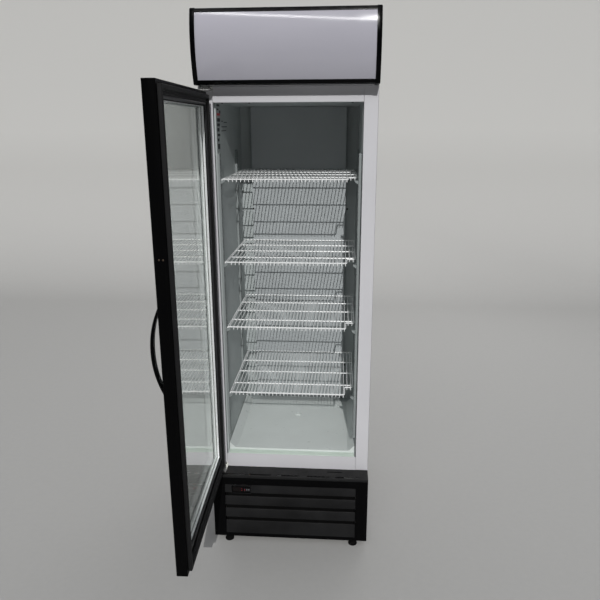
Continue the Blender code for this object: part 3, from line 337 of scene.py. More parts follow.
MAT = {
    "white": finish("white_powder", (0.60, 0.595, 0.62), 0.40, mottle=(5, 0.018),
        grain=(700, 0.00006), rough_var=0.04, specular=0.35),
    "liner": finish("white_liner_coat", (0.44, 0.475, 0.475), 0.42, mottle=(4, 0.04),
        grain=(420, 0.00005), rough_var=0.05, specular=0.35),
    "duct": finish("white_duct_coat", (0.41, 0.435, 0.445), 0.40, mottle=(5, 0.03),
        grain=(420, 0.00005), rough_var=0.05, specular=0.35),
    "tray": finish("white_tray_plastic", (0.66, 0.70, 0.685), 0.33, mottle=(7, 0.03),
        grain=(900, 0.00004), rough_var=0.06, dust=0.05),
    "threshold": finish("pale_threshold_plastic", (0.66, 0.76, 0.68), 0.35, mottle=(9, 0.04),
        grain=(900, 0.00004)),
    # painted shade: the white plastic uprights are coloured dark grey for the shade the front ones
    # stand in; the rear ones share the colour
    "pilaster": finish("white_pilaster_painted_shade", (0.26, 0.285, 0.285), 0.45, mottle=(12, 0.05),
        grain=(900, 0.00005), specular=0.3),
    "wire": finish("white_coated_wire", (0.86, 0.87, 0.87), 0.28, mottle=(30, 0.03),
        grain=(500, 0.00008), rough_var=0.08),
    "black_powder": finish("black_powder", (0.0018, 0.0018, 0.0020), 0.50, mottle=(14, 0.15),
        grain=(1500, 0.00006), dust=0.006, specular=0.04),
    # painted sheen: the blades are the grille's own black paint, painted lighter than its face for
    # the light their tilted faces catch
    "black_louvre": finish("black_louvre_painted_sheen", (0.0110, 0.0110, 0.0115), 0.42, mottle=(7, 0.35),
        grain=(1500, 0.00006), dust=0.02, rough_var=0.08, specular=0.12),
    "canopy": finish("black_canopy_plastic", (0.0013, 0.0013, 0.0016), 0.20, mottle=(10, 0.1),
        grain=(1100, 0.00005), specular=0.08, dust=0.006),
    "profile": finish("black_door_profile", (0.0013, 0.0013, 0.0015), 0.36, mottle=(12, 0.12),
        grain=(350, 0.00004), stretch=(1.0, 1.0, 0.05), specular=0.05),
    "bead": finish("grey_bead_lip", (0.028, 0.028, 0.030), 0.38, mottle=(25, 0.08),
        grain=(600, 0.00004), specular=0.3),
    "gasket": finish("gasket_flexible", (0.0085, 0.0085, 0.009), 0.6, mottle=(18, 0.2),
        grain=(800, 0.00006), dust=0.02, specular=0.2),
    "glass": clear_glass("door_glass", (0.955, 0.975, 0.965)),
    "spacer": finish("pale_spacer", (0.78, 0.80, 0.80), 0.32, 0.25, mottle=(40, 0.04),
        grain=(900, 0.00004), rough_var=0.08),
    # the sign's two colours carry its painted top-to-bottom light gradient
    "sign": milky_acrylic("opal_sign_acrylic", (0.46, 0.45, 0.505), (0.375, 0.37, 0.415)),
    "galvanised": galvanised("galvanised_sheet", (0.55, 0.56, 0.57)),
    "foam": finish("rigid_foam", (0.72, 0.60, 0.36), 0.9, mottle=(30, 0.1), grain=(220, 0.0006)),
    "fins": ribbed("aluminium_fins", (0.62, 0.63, 0.64), 0.38, 0.0022, 0.0006, "X", 0.85),
    "aluminium": finish("rolled_aluminium", (0.66, 0.67, 0.68), 0.32, 0.9, mottle=(14, 0.06),
        grain=(500, 0.00004), stretch=(1, 8, 1)),
    "copper": finish("drawn_copper", (0.66, 0.33, 0.19), 0.30, 1.0, mottle=(35, 0.18),
        grain=(400, 0.00005), rough_var=0.12),
    "enamel": finish("black_enamel", (0.012, 0.012, 0.013), 0.22, mottle=(16, 0.1),
        grain=(260, 0.0001), coat=0.4, dust=0.10),
    "zinc": finish("zinc_plate", (0.62, 0.62, 0.60), 0.30, 0.9, mottle=(30, 0.10),
        grain=(600, 0.00005), rough_var=0.1),
    "screw": finish("dark_screw", (0.05, 0.045, 0.04), 0.35, 0.8, mottle=(200, 0.2)),
    "brown_screw": finish("aged_screw", (0.10, 0.075, 0.055), 0.45, 0.7, mottle=(300, 0.3)),
    "red": finish("red_rocker_plastic", (0.40, 0.012, 0.012), 0.22, mottle=(60, 0.08), coat=0.5),
    "display": finish("smoked_display", (0.003, 0.0015, 0.0015), 0.10, mottle=(50, 0.2),
        specular=0.2),
    "key": finish("grey_rubber_key", (0.012, 0.012, 0.013), 0.55, mottle=(200, 0.1),
        grain=(2500, 0.00005), specular=0.2),
    "lamp": finish("frosted_lamp", (0.85, 0.86, 0.84), 0.35, mottle=(20, 0.03)),
    "rubber": finish("black_rubber", (0.004, 0.004, 0.004), 0.85, mottle=(40, 0.2),
        grain=(600, 0.0001), dust=0.02, specular=0.05),
    "bezel": finish("controller_bezel", (0.0012, 0.0012, 0.0014), 0.16, mottle=(60, 0.1),
        grain=(2000, 0.00002), specular=0.06),
    # painted light: the ledge is the grille's own black paint, painted lighter for the light its
    # top catches from above
    "ledge": finish("black_ledge_painted_light", (0.013, 0.013, 0.0135), 0.48, mottle=(14, 0.15),
        grain=(1500, 0.00006), dust=0.03, specular=0.12),
    # painted shade: the condenser coil is coloured near black so the gaps between the louvres read
    # dark
    "coil_painted_shade": ribbed("fins_painted_dark_for_shade", (0.006, 0.006, 0.006), 0.6, 0.0022, 0.0006, "X"),
    "mark_red": finish("red_mark", (0.62, 0.03, 0.05), 0.4, mottle=(400, 0.05)),
    "mark_pale": finish("pale_mark", (0.55, 0.56, 0.60), 0.4, mottle=(400, 0.05)),
    "label_dark": finish("label_print", (0.012, 0.014, 0.018), 0.5, mottle=(400, 0.2)),
}


# ---- mesh helpers -----------------------------------------------------------------
def rounded(corners, steps=4):
    """A closed outline from (u, v, radius) corners, each corner turned by a circular arc."""
    points = []
    count = len(corners)
    for index, (u, v, radius) in enumerate(corners):
        here = Vector((u, v))
        before = Vector(corners[index - 1][:2]) - here
        after = Vector(corners[(index + 1) % count][:2]) - here
        if radius <= 0.0:
            points.append((u, v))
            continue
        angle = before.angle(after)
        reach = min(radius / math.tan(angle / 2), before.length * 0.49, after.length * 0.49)
        radius = reach * math.tan(angle / 2)
        bisector = (before.normalized() + after.normalized()).normalized()
        centre = here + bisector * (radius / math.sin(angle / 2))
        start = (here + before.normalized() * reach - centre).normalized()
        end = (here + after.normalized() * reach - centre).normalized()
        sweep = start.angle(end)
        for step in range(steps + 1):
            share = step / steps
            a = math.sin((1 - share) * sweep) / math.sin(sweep)
            b = math.sin(share * sweep) / math.sin(sweep)
            arm = start * a + end * b
            points.append(tuple(centre + arm * radius))
    return points


def to_xyz(axis, along, u, v):
    values = [u, v]
    values.insert("XYZ".index(axis), along)
    return Vector(values)


def add_loops(bm, loops, close=False):
    """Skins a stack of equal vertex loops."""
    rows = [[bm.verts.new(p) for p in loop] for loop in loops]
    pairs = list(zip(rows, rows[1:]))
    if close:
        pairs.append((rows[-1], rows[0]))
    for a, b in pairs:
        for k in range(len(a)):
            n = (k + 1) % len(a)
            bm.faces.new((a[k], a[n], b[n], b[k]))
    if not close:
        bm.faces.new(list(reversed(rows[0])))
        bm.faces.new(rows[-1])


def add_prism(bm, outline, axis, start, end, soft=0.0):
    """An extruded outline; soft rounds its two end edges."""
    if soft <= 0.0:
        add_loops(bm, [[to_xyz(axis, a, u, v) for u, v in outline] for a in (start, end)])
        return
    cu = sum(u for u, v in outline) / len(outline)
    cv = sum(v for u, v in outline) / len(outline)
    sign = 1 if end > start else -1
    loops = []
    for along, inset in ((start, soft), (start + sign * soft * 0.3, soft * 0.3),
                         (start + sign * soft, 0.0), (end - sign * soft, 0.0),
                         (end - sign * soft * 0.3, soft * 0.3), (end, soft)):
        loop = []
        for u, v in outline:
            away = Vector((u - cu, v - cv))
            k = max(0.0, 1.0 - inset / max(away.length, 1e-6)) if inset else 1.0
            loop.append(to_xyz(axis, along, cu + away.x * k, cv + away.y * k))
        loops.append(loop)
    add_loops(bm, loops)


def add_block(bm, low, high, soft=0.001, segments=2):
    """A box with its edges rounded."""
    size = [h - l for l, h in zip(low, high)]
    middle = [(l + h) / 2 for l, h in zip(low, high)]
    matrix = Matrix.Translation(middle) @ Matrix.Diagonal((*size, 1.0))
    verts = bmesh.ops.create_cube(bm, size=1.0, matrix=matrix)["verts"]
    if soft > 0.0:
        edges = {e for v in verts for e in v.link_edges}
        bmesh.ops.bevel(bm, geom=list(edges), offset=min(soft, min(size) * 0.45),
                        segments=segments, profile=0.5, affect="EDGES")


def add_rod(bm, points, radius, sides=8):
    """A round rod along points, with slightly domed ends."""
    points = [Vector(p) for p in points]
    tangents = []
    for i in range(len(points)):
        a = points[max(i - 1, 0)]
        b = points[min(i + 1, len(points) - 1)]
        tangents.append((b - a).normalized())
    side = tangents[0].orthogonal().normalized()
    loops = []
    for i, (point, tangent) in enumerate(zip(points, tangents)):
        side = (side - tangent * side.dot(tangent)).normalized()
        other = tangent.cross(side)
        ring = [point + (side * math.cos(2 * math.pi * k / sides)
                         + other * math.sin(2 * math.pi * k / sides)) * radius
                for k in range(sides)]
        if i == 0:
            loops.append([point - tangent * radius * 0.4 + (p - point) * 0.55 for p in ring])
        loops.append(ring)
        if i == len(points) - 1:
            loops.append([point + tangent * radius * 0.4 + (p - point) * 0.55 for p in ring])
    add_loops(bm, loops)


def add_turned(bm, profile, centre, axis="Z", sides=24):
    """A solid of revolution from (radius, height) pairs; ends at radius 0 are poles."""
    turn = {"X": Matrix.Rotation(math.pi / 2, 4, "Y"), "Y": Matrix.Rotation(-math.pi / 2, 4, "X"),
            "Z": Matrix.Identity(4)}[axis]
    seat = Matrix.Translation(centre) @ turn
    rows = []
    for radius, height in profile:
        if radius < 1e-7:
            rows.append([bm.verts.new(seat @ Vector((0, 0, height)))])
            continue
        turns = [2 * math.pi * k / sides for k in range(sides)]
        rows.append([bm.verts.new(seat @ Vector((radius * math.cos(a), radius * math.sin(a),
                                                 height))) for a in turns])
    for a, b in zip(rows, rows[1:]):
        for k in range(sides):
            n = (k + 1) % sides
            if len(a) == 1:
                bm.faces.new((a[0], b[n], b[k]))
            elif len(b) == 1:
                bm.faces.new((a[k], a[n], b[0]))
            else:
                bm.faces.new((a[k], a[n], b[n], b[k]))


def add_screw(bm, centre, axis, facing, radius, height):
    """Pan head with a round recess pressed into its crown; facing is +1 or -1 along the axis."""
    h = height * facing
    profile = [(0.0, -0.2 * h), (radius, -0.2 * h), (radius, 0.35 * h), (radius * 0.93, 0.62 * h),
               (radius * 0.72, 0.9 * h), (radius * 0.50, h), (radius * 0.42, h),
               (radius * 0.30, 0.45 * h), (0.0, 0.40 * h)]
    add_turned(bm, profile, centre, axis, 12)


def add_ring(bm, profile, outer, inner):
    """Mitred frame: profile entries are (rect, inset, depth) with rect "o" or "i".

    An inset runs from the outer rectangle towards the opening, or from the opening outwards.
    """
    loops = []
    for right, top in ((0, 0), (1, 0), (1, 1), (0, 1)):
        loop = []
        for rect, inset, depth in profile:
            if rect == "o":
                x = outer[1] - inset if right else outer[0] + inset
                z = outer[3] - inset if top else outer[2] + inset
            else:
                x = inner[1] + inset if right else inner[0] - inset
                z = inner[3] + inset if top else inner[2] - inset
            loop.append(Vector((x, depth, z)))
        loops.append(loop)
    add_loops(bm, loops, close=True)


def ring_profile(corners, steps=3):
    """Rounds a ring's profile: corners are (rect, inset, depth, radius)."""
    span = 1.0    # keeps outer and inner corners apart while arcs are worked out
    flat = [(inset if rect == "o" else span - inset, depth, radius)
            for rect, inset, depth, radius in corners]
    return [("o", u, v) if u < span / 2 else ("i", span - u, v)
            for u, v in rounded(flat, steps)]


def add_plate_with_holes(bm, us, vs, holes, place_point, thickness):
    """Flat plate on grid lines us and vs with some cells left out, closed all round."""
    cache = {}

    def corner(i, j, back):
        key = (i, j, back)
        if key not in cache:
            cache[key] = bm.verts.new(place_point(us[i], vs[j], thickness if back else 0.0))
        return cache[key]

    def solid(i, j):
        return 0 <= i < len(us) - 1 and 0 <= j < len(vs) - 1 and (i, j) not in holes

    for i in range(len(us) - 1):
        for j in range(len(vs) - 1):
            if not solid(i, j):
                continue
            quad = ((i, j), (i + 1, j), (i + 1, j + 1), (i, j + 1))
            bm.faces.new([corner(a, b, False) for a, b in quad])
            bm.faces.new([corner(a, b, True) for a, b in reversed(quad)])
            for (di, dj), (p, q) in (((0, -1), (0, 1)), ((1, 0), (1, 2)), ((0, 1), (2, 3)),
                                     ((-1, 0), (3, 0))):
                if not solid(i + di, j + dj):
                    a, b = quad[p], quad[q]
                    bm.faces.new((corner(*a, False), corner(*a, True), corner(*b, True),
                                  corner(*b, False)))


def piece(name, bm, material, body, seat=CABINET_SEAT, replaces=(), angle=35.0):
    """Turns a mesh into a piece that rides on a body."""
    bmesh.ops.recalc_face_normals(bm, faces=bm.faces)
    mesh = bpy.data.meshes.new(name)
    bm.to_mesh(mesh)
    bm.free()
    smooth(mesh, angle)
    mesh.materials.append(MAT[material])
    obj = bpy.data.objects.new(name, mesh)
    link(obj)
    obj.matrix_world = seat
    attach(obj, body)
    if replaces:
        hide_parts(*replaces)
    return obj


def screws(name, points, axis, facing, radius, height, material):
    """Cabinet screws of one size that all face the same way, as one piece."""
    bm = bmesh.new()
    for point in points:
        add_screw(bm, point, axis, facing, radius, height)
    piece(name, bm, material, "cabinet")


def carve(obj, bm):
    """Cuts closed shapes out of a piece and keeps the result as its mesh."""
    bmesh.ops.recalc_face_normals(bm, faces=bm.faces)
    mesh = bpy.data.meshes.new("tool")
    bm.to_mesh(mesh)
    bm.free()
    tool = bpy.data.objects.new("tool", mesh)
    link(tool)
    tool.matrix_world = obj.matrix_world
    modifier = obj.modifiers.new("cut", "BOOLEAN")
    modifier.operation = "DIFFERENCE"
    modifier.solver = "EXACT"
    modifier.object = tool
    depsgraph = bpy.context.evaluated_depsgraph_get()
    result = bpy.data.meshes.new_from_object(obj.evaluated_get(depsgraph))
    obj.modifiers.clear()
    if len(result.polygons) < 6:
        raise RuntimeError(f"cut emptied {obj.name}")
    result.name = obj.data.name
    obj.data = result
    smooth(result, 35)
    bpy.data.objects.remove(tool)


def dress(material, *names, edge=0.0):
    """Gives CAD nodes a material, and softens their edges where edge is above zero."""
    for name in names:
        obj = NODES[name]
        obj.data.materials.clear()
        obj.data.materials.append(MAT[material])
        if edge > 0.0:
            weld = obj.modifiers.new("weld", "WELD")
            weld.merge_threshold = 0.00001
            soft = obj.modifiers.new("edge", "BEVEL")
            soft.width = edge
            soft.segments = 2
            soft.limit_method = "ANGLE"
            soft.angle_limit = math.radians(40)
            soft.harden_normals = True


# ---- cabinet ----------------------------------------------------------------------
def dress_cad_nodes():
    dress("white", "outer_shell", "head_rail", "sill_rail", "canopy_housing", edge=0.0012)
    dress("liner", "inner_liner", edge=0.0015)
    dress("duct", "duct_panel", edge=0.0015)
    dress("tray", "floor_pan", "drain_spout", "evaporation_tray")
    dress("galvanised", "back_panel", "base_pan", "rear_grille", "condenser_fan_shroud")
    dress("foam", "insulation")
    dress("fins", "evaporator_coil")
    # painted shade: the condenser coil is darkened to near black
    dress("coil_painted_shade", "condenser_coil")
    dress("aluminium", "condenser_fan_blade")
    dress("canopy", "evaporator_fan_frame", "evaporator_fan_rotor", "condenser_fan_motor",
          "cord_gland")
    dress("enamel", "compressor")
    dress("copper", "filter_drier", "discharge_pipe", "suction_pipe")
    dress("rubber", "foot_front_left", "foot_front_right", "foot_rear_left", "foot_rear_right")
    dress("lamp", "lamp_tube")
    dress("red", "light_switch_upper", "light_switch_lower")
    dress("glass", "glass_outer", "glass_inner")
    dress("zinc", "hinge_top", "hinge_bottom")
    dress("display", "controller_window")
    dress("key", "key_set", "key_up", "key_down")


WIRE_R = 0.0016
BAR_R = 0.0027
SHELF_HALF = 0.2445
SHELF_FRONT = 0.0385
SHELF_REAR = 0.5045
SHELF_BARS = (0.131, 0.258, 0.381, SHELF_REAR)
NOTCH_X, NOTCH_Y = 0.2115, 0.110
WIRE_COUNT = 33
END_WIRE = 0.008     # the outermost wires lie this far inside the rim
LIP_DROP = 0.0092


def wire_shelf(name, height):
    """Welded wire shelf: rim and cross bars below, close wires on top with turned-down ends."""
    bm = bmesh.new()
    front = SHELF_FRONT
    rim = [(-SHELF_HALF, SHELF_REAR, height), (-SHELF_HALF, front + 0.006, height),
           (-SHELF_HALF + 0.0018, front + 0.0018, height), (-SHELF_HALF + 0.006, front, height),
           (NOTCH_X - 0.006, front, height), (NOTCH_X - 0.0018, front + 0.0018, height),
           (NOTCH_X, front + 0.006, height), (NOTCH_X, NOTCH_Y - 0.004, height),
           (NOTCH_X + 0.001, NOTCH_Y - 0.001, height), (NOTCH_X + 0.004, NOTCH_Y, height),
           (SHELF_HALF - 0.006, NOTCH_Y, height), (SHELF_HALF - 0.0018, NOTCH_Y + 0.0018, height),
           (SHELF_HALF, NOTCH_Y + 0.006, height), (SHELF_HALF, SHELF_REAR, height)]
    add_rod(bm, rim, BAR_R)
    for y in SHELF_BARS:
        add_rod(bm, [(-SHELF_HALF, y, height - 0.0002), (SHELF_HALF, y, height - 0.0002)],
                BAR_R * 0.92)
    top = height + BAR_R + WIRE_R * 0.6
    pitch = 2 * (SHELF_HALF - END_WIRE) / (WIRE_COUNT - 1)
    for index in range(WIRE_COUNT):
        x = -SHELF_HALF + END_WIRE + index * pitch
        y0 = front if x < NOTCH_X + 0.002 else NOTCH_Y
        nose = y0 - BAR_R - WIRE_R
        path = [(x, 0.5065, top), (x, y0 + 0.004, top), (x, y0 - 0.0005, top - 0.0002),
                (x, nose + 0.0008, top - 0.0022), (x, nose, top - 0.005),
                (x, nose, height - LIP_DROP)]
        add_rod(bm, path, WIRE_R, 6)
    corner = Vector((-SHELF_HALF, front, height))
    add_rod(bm, [corner + Vector(step) for step in ((0.0035, 0.0035, 0), (0.0, -0.0005, -0.0008),
                                                    (-0.0018, -0.0018, -0.0042))], BAR_R * 1.15)
    piece(f"{name}_wires", bm, "wire", SHELF_BODY[name], replaces=(name,))


PILASTER_WALL = 0.2569
PILASTER_T = 0.009
SLOT_PITCH = 0.0125
SLOT_HEIGHT = 0.0075
CLIP_HALF = 0.006


def pilaster(name, clips):
    """Slotted channel on the side wall, with hooked clips under the shelves."""
    low, high = cab_box(name)
    sign = 1 if low.x > 0 else -1
    y0, y1 = low.y, high.y
    face = sign * (PILASTER_WALL - PILASTER_T)
    middle = (y0 + y1) / 2
    us = [y0, y0 + 0.0040, y1 - 0.0040, y1]
    vs = [low.z]
    holes = set()
    z = low.z + 0.008
    while z + SLOT_HEIGHT < high.z - 0.004:
        holes.add((1, len(vs)))
        vs += [z, z + SLOT_HEIGHT]
        z += SLOT_PITCH
    vs.append(high.z)
    bm = bmesh.new()
    add_plate_with_holes(bm, us, vs, holes,
                         lambda u, v, t: Vector((face + sign * t, u, v)), 0.0013)
    for edge in (y0, y1 - 0.0013):
        xs = sorted((face + sign * 0.0006, sign * PILASTER_WALL))
        add_block(bm, (xs[0], edge, low.z), (xs[1], edge + 0.0013, high.z), 0.0003, 1)
    piece(f"{name}_channel", bm, "pilaster", "cabinet", replaces=(name,))
    bm = bmesh.new()
    for height in clips:
        top = height - BAR_R - 0.0006
        outline = rounded([(0.0, 0.0, 0.0005), (0.0, -0.010, 0.0015), (0.004, -0.0125, 0.001),
                           (0.012, -0.006, 0.001), (0.0145, -0.0035, 0.001),
                           (0.0145, 0.0026, 0.0008), (0.0128, 0.0026, 0.0005),
                           (0.0122, 0.0, 0.0005)], 2)
        outline = [(face - sign * (u - 0.0012), top + v) for u, v in outline]
        add_prism(bm, outline, "Y", middle - CLIP_HALF, middle + CLIP_HALF)
    piece(f"{name}_clips", bm, "pilaster", "cabinet")


DRAIN_X, DRAIN_Y = 0.003, 0.357


def interior_details():
    """Duct screws, ceiling screws, threshold strip and the slotted drain cap."""
    duct_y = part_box("duct_panel")[0].y - ORIGIN.y
    points = [(x, duct_y, z) for z in (1.297, 0.560) for x in (-0.203, 0.213)]
    screws("duct_screws", points, "Y", -1, 0.0042, 0.0022, "screw")
    points = [(x, 0.045, CEILING) for x in (-0.236, -0.140, 0.222)]
    screws("ceiling_screws", points, "Z", -1, 0.0042, 0.0024, "screw")
    sill_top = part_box("sill_rail")[1].z
    bm = bmesh.new()
    add_block(bm, (-INSIDE + 0.002, 0.0020, sill_top + 0.0003),
              (INSIDE - 0.002, 0.0325, sill_top + 0.0018), 0.0005)
    piece("threshold_strip", bm, "threshold", "cabinet")
    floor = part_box("drain_spout")[1].z
    bm = bmesh.new()
    add_turned(bm, [(0.0, -0.001), (0.0135, -0.001), (0.0142, 0.0006), (0.0132, 0.0021),
                    (0.0110, 0.0027), (0.0, 0.0030)], (DRAIN_X, DRAIN_Y, floor), "Z", 28)
    cap = piece("drain_cap", bm, "tray", "cabinet")
    bm = bmesh.new()
    for index in range(5):
        x = DRAIN_X + (index - 2) * 0.0042
        reach = math.sqrt(max(0.0085 ** 2 - (x - DRAIN_X) ** 2, 1e-6))
        add_block(bm, (x - 0.0008, DRAIN_Y - reach, floor - 0.01),
                  (x + 0.0008, DRAIN_Y + reach, floor + 0.01), 0.0)
    carve(cap, bm)


def care_label():
    """Plain inside sticker: bars and blocks only, with no lettering."""
    near, far = -INSIDE + 0.0001, -INSIDE + 0.0005
    bm = bmesh.new()
    for y, z, depth, height in ((0.047, 1.722, 0.050, 0.007), (0.047, 1.708, 0.030, 0.006),
                                (0.090, 1.700, 0.022, 0.010), (0.047, 1.672, 0.052, 0.012),
                                (0.047, 1.655, 0.046, 0.010), (0.120, 1.668, 0.034, 0.003),
                                (0.170, 1.664, 0.060, 0.003), (0.120, 1.648, 0.110, 0.003),
                                (0.120, 1.634, 0.090, 0.003), (0.047, 1.638, 0.036, 0.012),
                                (0.047, 1.620, 0.044, 0.008), (0.047, 1.603, 0.028, 0.010),
                                (0.047, 1.580, 0.036, 0.018)):
        add_block(bm, (near, y, z - height / 2), (far, y + depth, z + height / 2), 0.0)
    piece("label_bars", bm, "label_dark", "cabinet")
    bm = bmesh.new()
    add_block(bm, (near, 0.047, 1.687), (far, 0.103, 1.695), 0.0)
    piece("label_band", bm, "mark_red", "cabinet")


def cabinet_screws():
    """Screws of the hinge plates, the back panel and the rear grille."""
    heights = (LEDGE_TOP + 0.0115, CAB_TOP - 0.0045)
    points = [(x, -0.0035, z) for x in (-0.296, -0.270) for z in heights]
    screws("hinge_screws", points, "Y", -1, 0.0036, 0.0018, "zinc")
    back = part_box("back_panel")[1].y - ORIGIN.y
    points = [(x, back, z) for z in (0.340, 0.68, 1.05, 1.42, 1.755) for x in (-0.298, 0.298)]
    # the cord gland has the grille's top right corner
    points += [(x, back, z) for x in (-0.295, -0.10, 0.10, 0.295) for z in (0.052, 0.298)
               if z < 0.2 or x < 0.2]
    screws("rear_screws", points, "Y", 1, 0.004, 0.0018, "zinc")


# ---- machine base -----------------------------------------------------------------
LOUVRE_COUNT = 4
LOUVRE_PITCH = 0.0567
BLADE_HEIGHT = 0.0368
OPENING_TOP = LEDGE_TOP - 0.041


def front_grille():
    """Black base front: ringed face, folded louvres, vented ledge and side cheeks."""
    margin = HALF - 0.048
    bottom = OPENING_TOP - LOUVRE_COUNT * LOUVRE_PITCH
    front, back = LEDGE_Y, LEDGE_Y + 0.003
    bm = bmesh.new()
    profile = ring_profile([("o", 0.0, front, 0.0012), ("i", 0.0, front, 0.0010),
                            ("i", 0.0, front + 0.008, 0.0), ("i", 0.0016, front + 0.008, 0.0),
                            ("i", 0.0016, back, 0.0), ("o", 0.0, back, 0.0)])
    add_ring(bm, profile, (-HALF, HALF, BASE_LOW, LEDGE_TOP - 0.0004),
             (-margin, margin, bottom, OPENING_TOP))
    for sign in (-1, 1):
        xs = sorted((sign * HALF, sign * (HALF - 0.0022)))
        add_block(bm, (xs[0], front + 0.0015, BASE_LOW), (xs[1], -0.0004, LEDGE_TOP - 0.0012),
                  0.0006)
    piece("grille_face", bm, "black_powder", "cabinet",
          replaces=("front_grille",))
    bm = bmesh.new()
    outline = rounded([(front - 0.0002, LEDGE_TOP - 0.010, 0.0005),
                       (front - 0.0002, LEDGE_TOP, 0.0016), (-0.0004, LEDGE_TOP, 0.0003),
                       (-0.0004, LEDGE_TOP - 0.0016, 0.0), (front + 0.0012, LEDGE_TOP - 0.0016, 0),
                       (front + 0.0012, LEDGE_TOP - 0.010, 0.0)], 4)
    add_prism(bm, outline, "X", -HALF, HALF)
    ledge = piece("grille_ledge", bm, "ledge", "cabinet")
    bm = bmesh.new()
    slots = [((x - 0.045, x + 0.045), (-0.0615, -0.0550)) for x in
             (-0.225, -0.120, -0.006, 0.112, 0.225)]
    slots.append(((0.147, 0.208), (-0.0250, -0.0192)))
    for (x0, x1), (y0, y1) in slots:
        r = (y1 - y0) / 2
        add_prism(bm, rounded([(x0, y0, r), (x1, y0, r), (x1, y1, r), (x0, y1, r)], 5), "Z",
                  LEDGE_TOP - 0.02, LEDGE_TOP + 0.01)
    carve(ledge, bm)
    bm = bmesh.new()
    for index in range(LOUVRE_COUNT):
        top = OPENING_TOP - index * LOUVRE_PITCH - 0.0006
        height = BLADE_HEIGHT if index < LOUVRE_COUNT - 1 else LOUVRE_PITCH - 0.001
        y0 = front + 0.0006
        outline = rounded([(y0, top - height, 0.0012), (y0 + 0.0075, top, 0.0012),
                           (y0 + 0.0145, top - 0.001, 0.0004), (y0 + 0.0145, top - 0.0022, 0.0),
                           (y0 + 0.0087, top - 0.0014, 0.0008),
                           (y0 + 0.0014, top - height + 0.0014, 0.0008),
                           (y0 + 0.009, top - height + 0.0030, 0.0),
                           (y0 + 0.009, top - height + 0.0016, 0.0)], 3)
        add_prism(bm, outline, "X", -margin - 0.0012, margin + 0.0012)
    louvres = piece("louvre_blades", bm, "black_louvre", "cabinet")
    low, high = cab_box("controller_body")
    bm = bmesh.new()
    add_block(bm, (low.x + 0.0035, front - 0.02, low.z + 0.0027),
              (high.x - 0.0035, front + 0.06, high.z - 0.0027), 0.0)
    carve(louvres, bm)
    # a black sheet behind the louvres stands in for the shade inside the base, so their gaps read
    # dark
    bm = bmesh.new()
    add_block(bm, (-margin + 0.001, front + 0.0180, bottom + 0.001),
              (margin - 0.001, front + 0.0210, OPENING_TOP - 0.001), 0.0005, 1)
    shade_sheet = piece("grille_shade_sheet", bm, "rubber", "cabinet")
    bm = bmesh.new()
    add_block(bm, (low.x - 0.002, front - 0.02, low.z - 0.002),
              (high.x + 0.002, front + 0.06, high.z + 0.002), 0.0)
    carve(shade_sheet, bm)
    points = [(x, front, z) for x in (-0.296, 0.296) for z in (0.052, 0.292)]
    screws("grille_screws", points, "Y", -1, 0.0032, 0.0014, "black_powder")


def controller():
    """Panel thermostat: rounded bezel, smoked window, key wells, small generic marks and a grey rim
    as a painted highlight.
    """
    low, high = cab_box("controller_body")
    face = low.y
    bm = bmesh.new()
    outline = rounded([(low.x, low.z, 0.004), (high.x, low.z, 0.004), (high.x, high.z, 0.004),
                       (low.x, high.z, 0.004)], 5)
    add_prism(bm, outline, "Y", face, LEDGE_Y - 0.0003, 0.0009)
    add_block(bm, (low.x + 0.004, LEDGE_Y - 0.001, low.z + 0.003),
              (high.x - 0.004, high.y, high.z - 0.003), 0.0)
    body = piece("controller_bezel", bm, "bezel", "cabinet",
                 replaces=("controller_body",))
    bm = bmesh.new()
    slack = 0.0004
    for name in ("controller_window", "key_set", "key_up", "key_down"):
        a, b = cab_box(name)
        add_block(bm, (a.x - slack, face - 0.01, a.z - slack),
                  (b.x + slack, b.y + 0.0010, b.z + slack), 0.0)
    carve(body, bm)
    # painted highlight: a thin grey rim round the black bezel's face gives the pale outline its
    # edges catch
    bm = bmesh.new()
    rim = inset_outline(outline, 0.0007)
    add_loops(bm, [[Vector((u, y, v)) for u, v in loop] for loop, y in
                   ((outline, face + 0.0004), (outline, face - 0.0003),
                    (rim, face - 0.0003), (rim, face + 0.0004))], close=True)
    piece("controller_highlight_rim", bm, "bead", "cabinet")
    for key, body_name, flip in (("key_up", "up_key", 1), ("key_down", "down_key", -1),
                                 ("key_set", "set_key", 0)):
        a, b = cab_box(key)
        x, z = (a.x + b.x) / 2, (a.z + b.z) / 2
        bm = bmesh.new()
        if flip:
            outline = [(x - 0.0018, z - 0.0012 * flip), (x + 0.0018, z - 0.0012 * flip),
                       (x, z + 0.0016 * flip)]
            add_prism(bm, outline, "Y", a.y - 0.00025, a.y + 0.0002)
        else:
            add_turned(bm, [(0.0, 0.0002), (0.0014, 0.0002), (0.0014, -0.00025), (0.0, -0.00025)],
                       (x, a.y, z), "Y", 14)
        material = "mark_pale" if flip else "mark_red"
        piece(f"{key}_mark", bm, material, body_name)
    a, b = cab_box("controller_window")
    bm = bmesh.new()
    for index in range(2):
        add_block(bm, (b.x - 0.004, a.y - 0.0002, a.z + 0.004 + index * 0.009),
                  (b.x - 0.0022, a.y + 0.0003, a.z + 0.006 + index * 0.009), 0.0003, 1)
    piece("controller_lamps", bm, "mark_red", "cabinet")


# ---- light box --------------------------------------------------------------------
def face_y(z):
    """Y of the curved face at height z, the same three-point curve as the CAD's."""
    share = (z - CAB_TOP) / (CANOPY_TOP - CAB_TOP)
    foot = 2 * (share - 0.5) * (share - 1.0)
    crown = -4 * share * (share - 1.0)
    head = 2 * share * (share - 0.5)
    return -0.060 * foot - 0.085 * crown - 0.069 * head


def face_arc(z0, z1, steps, inward=0.0):
    heights = [z0 + (z1 - z0) * i / steps for i in range(steps + 1)]
    return [(face_y(z) + inward, z) for z in heights]


CAP_T = 0.016
TRIM = 0.0150
PROUD = 0.0024    # how far the end caps stand past the trims


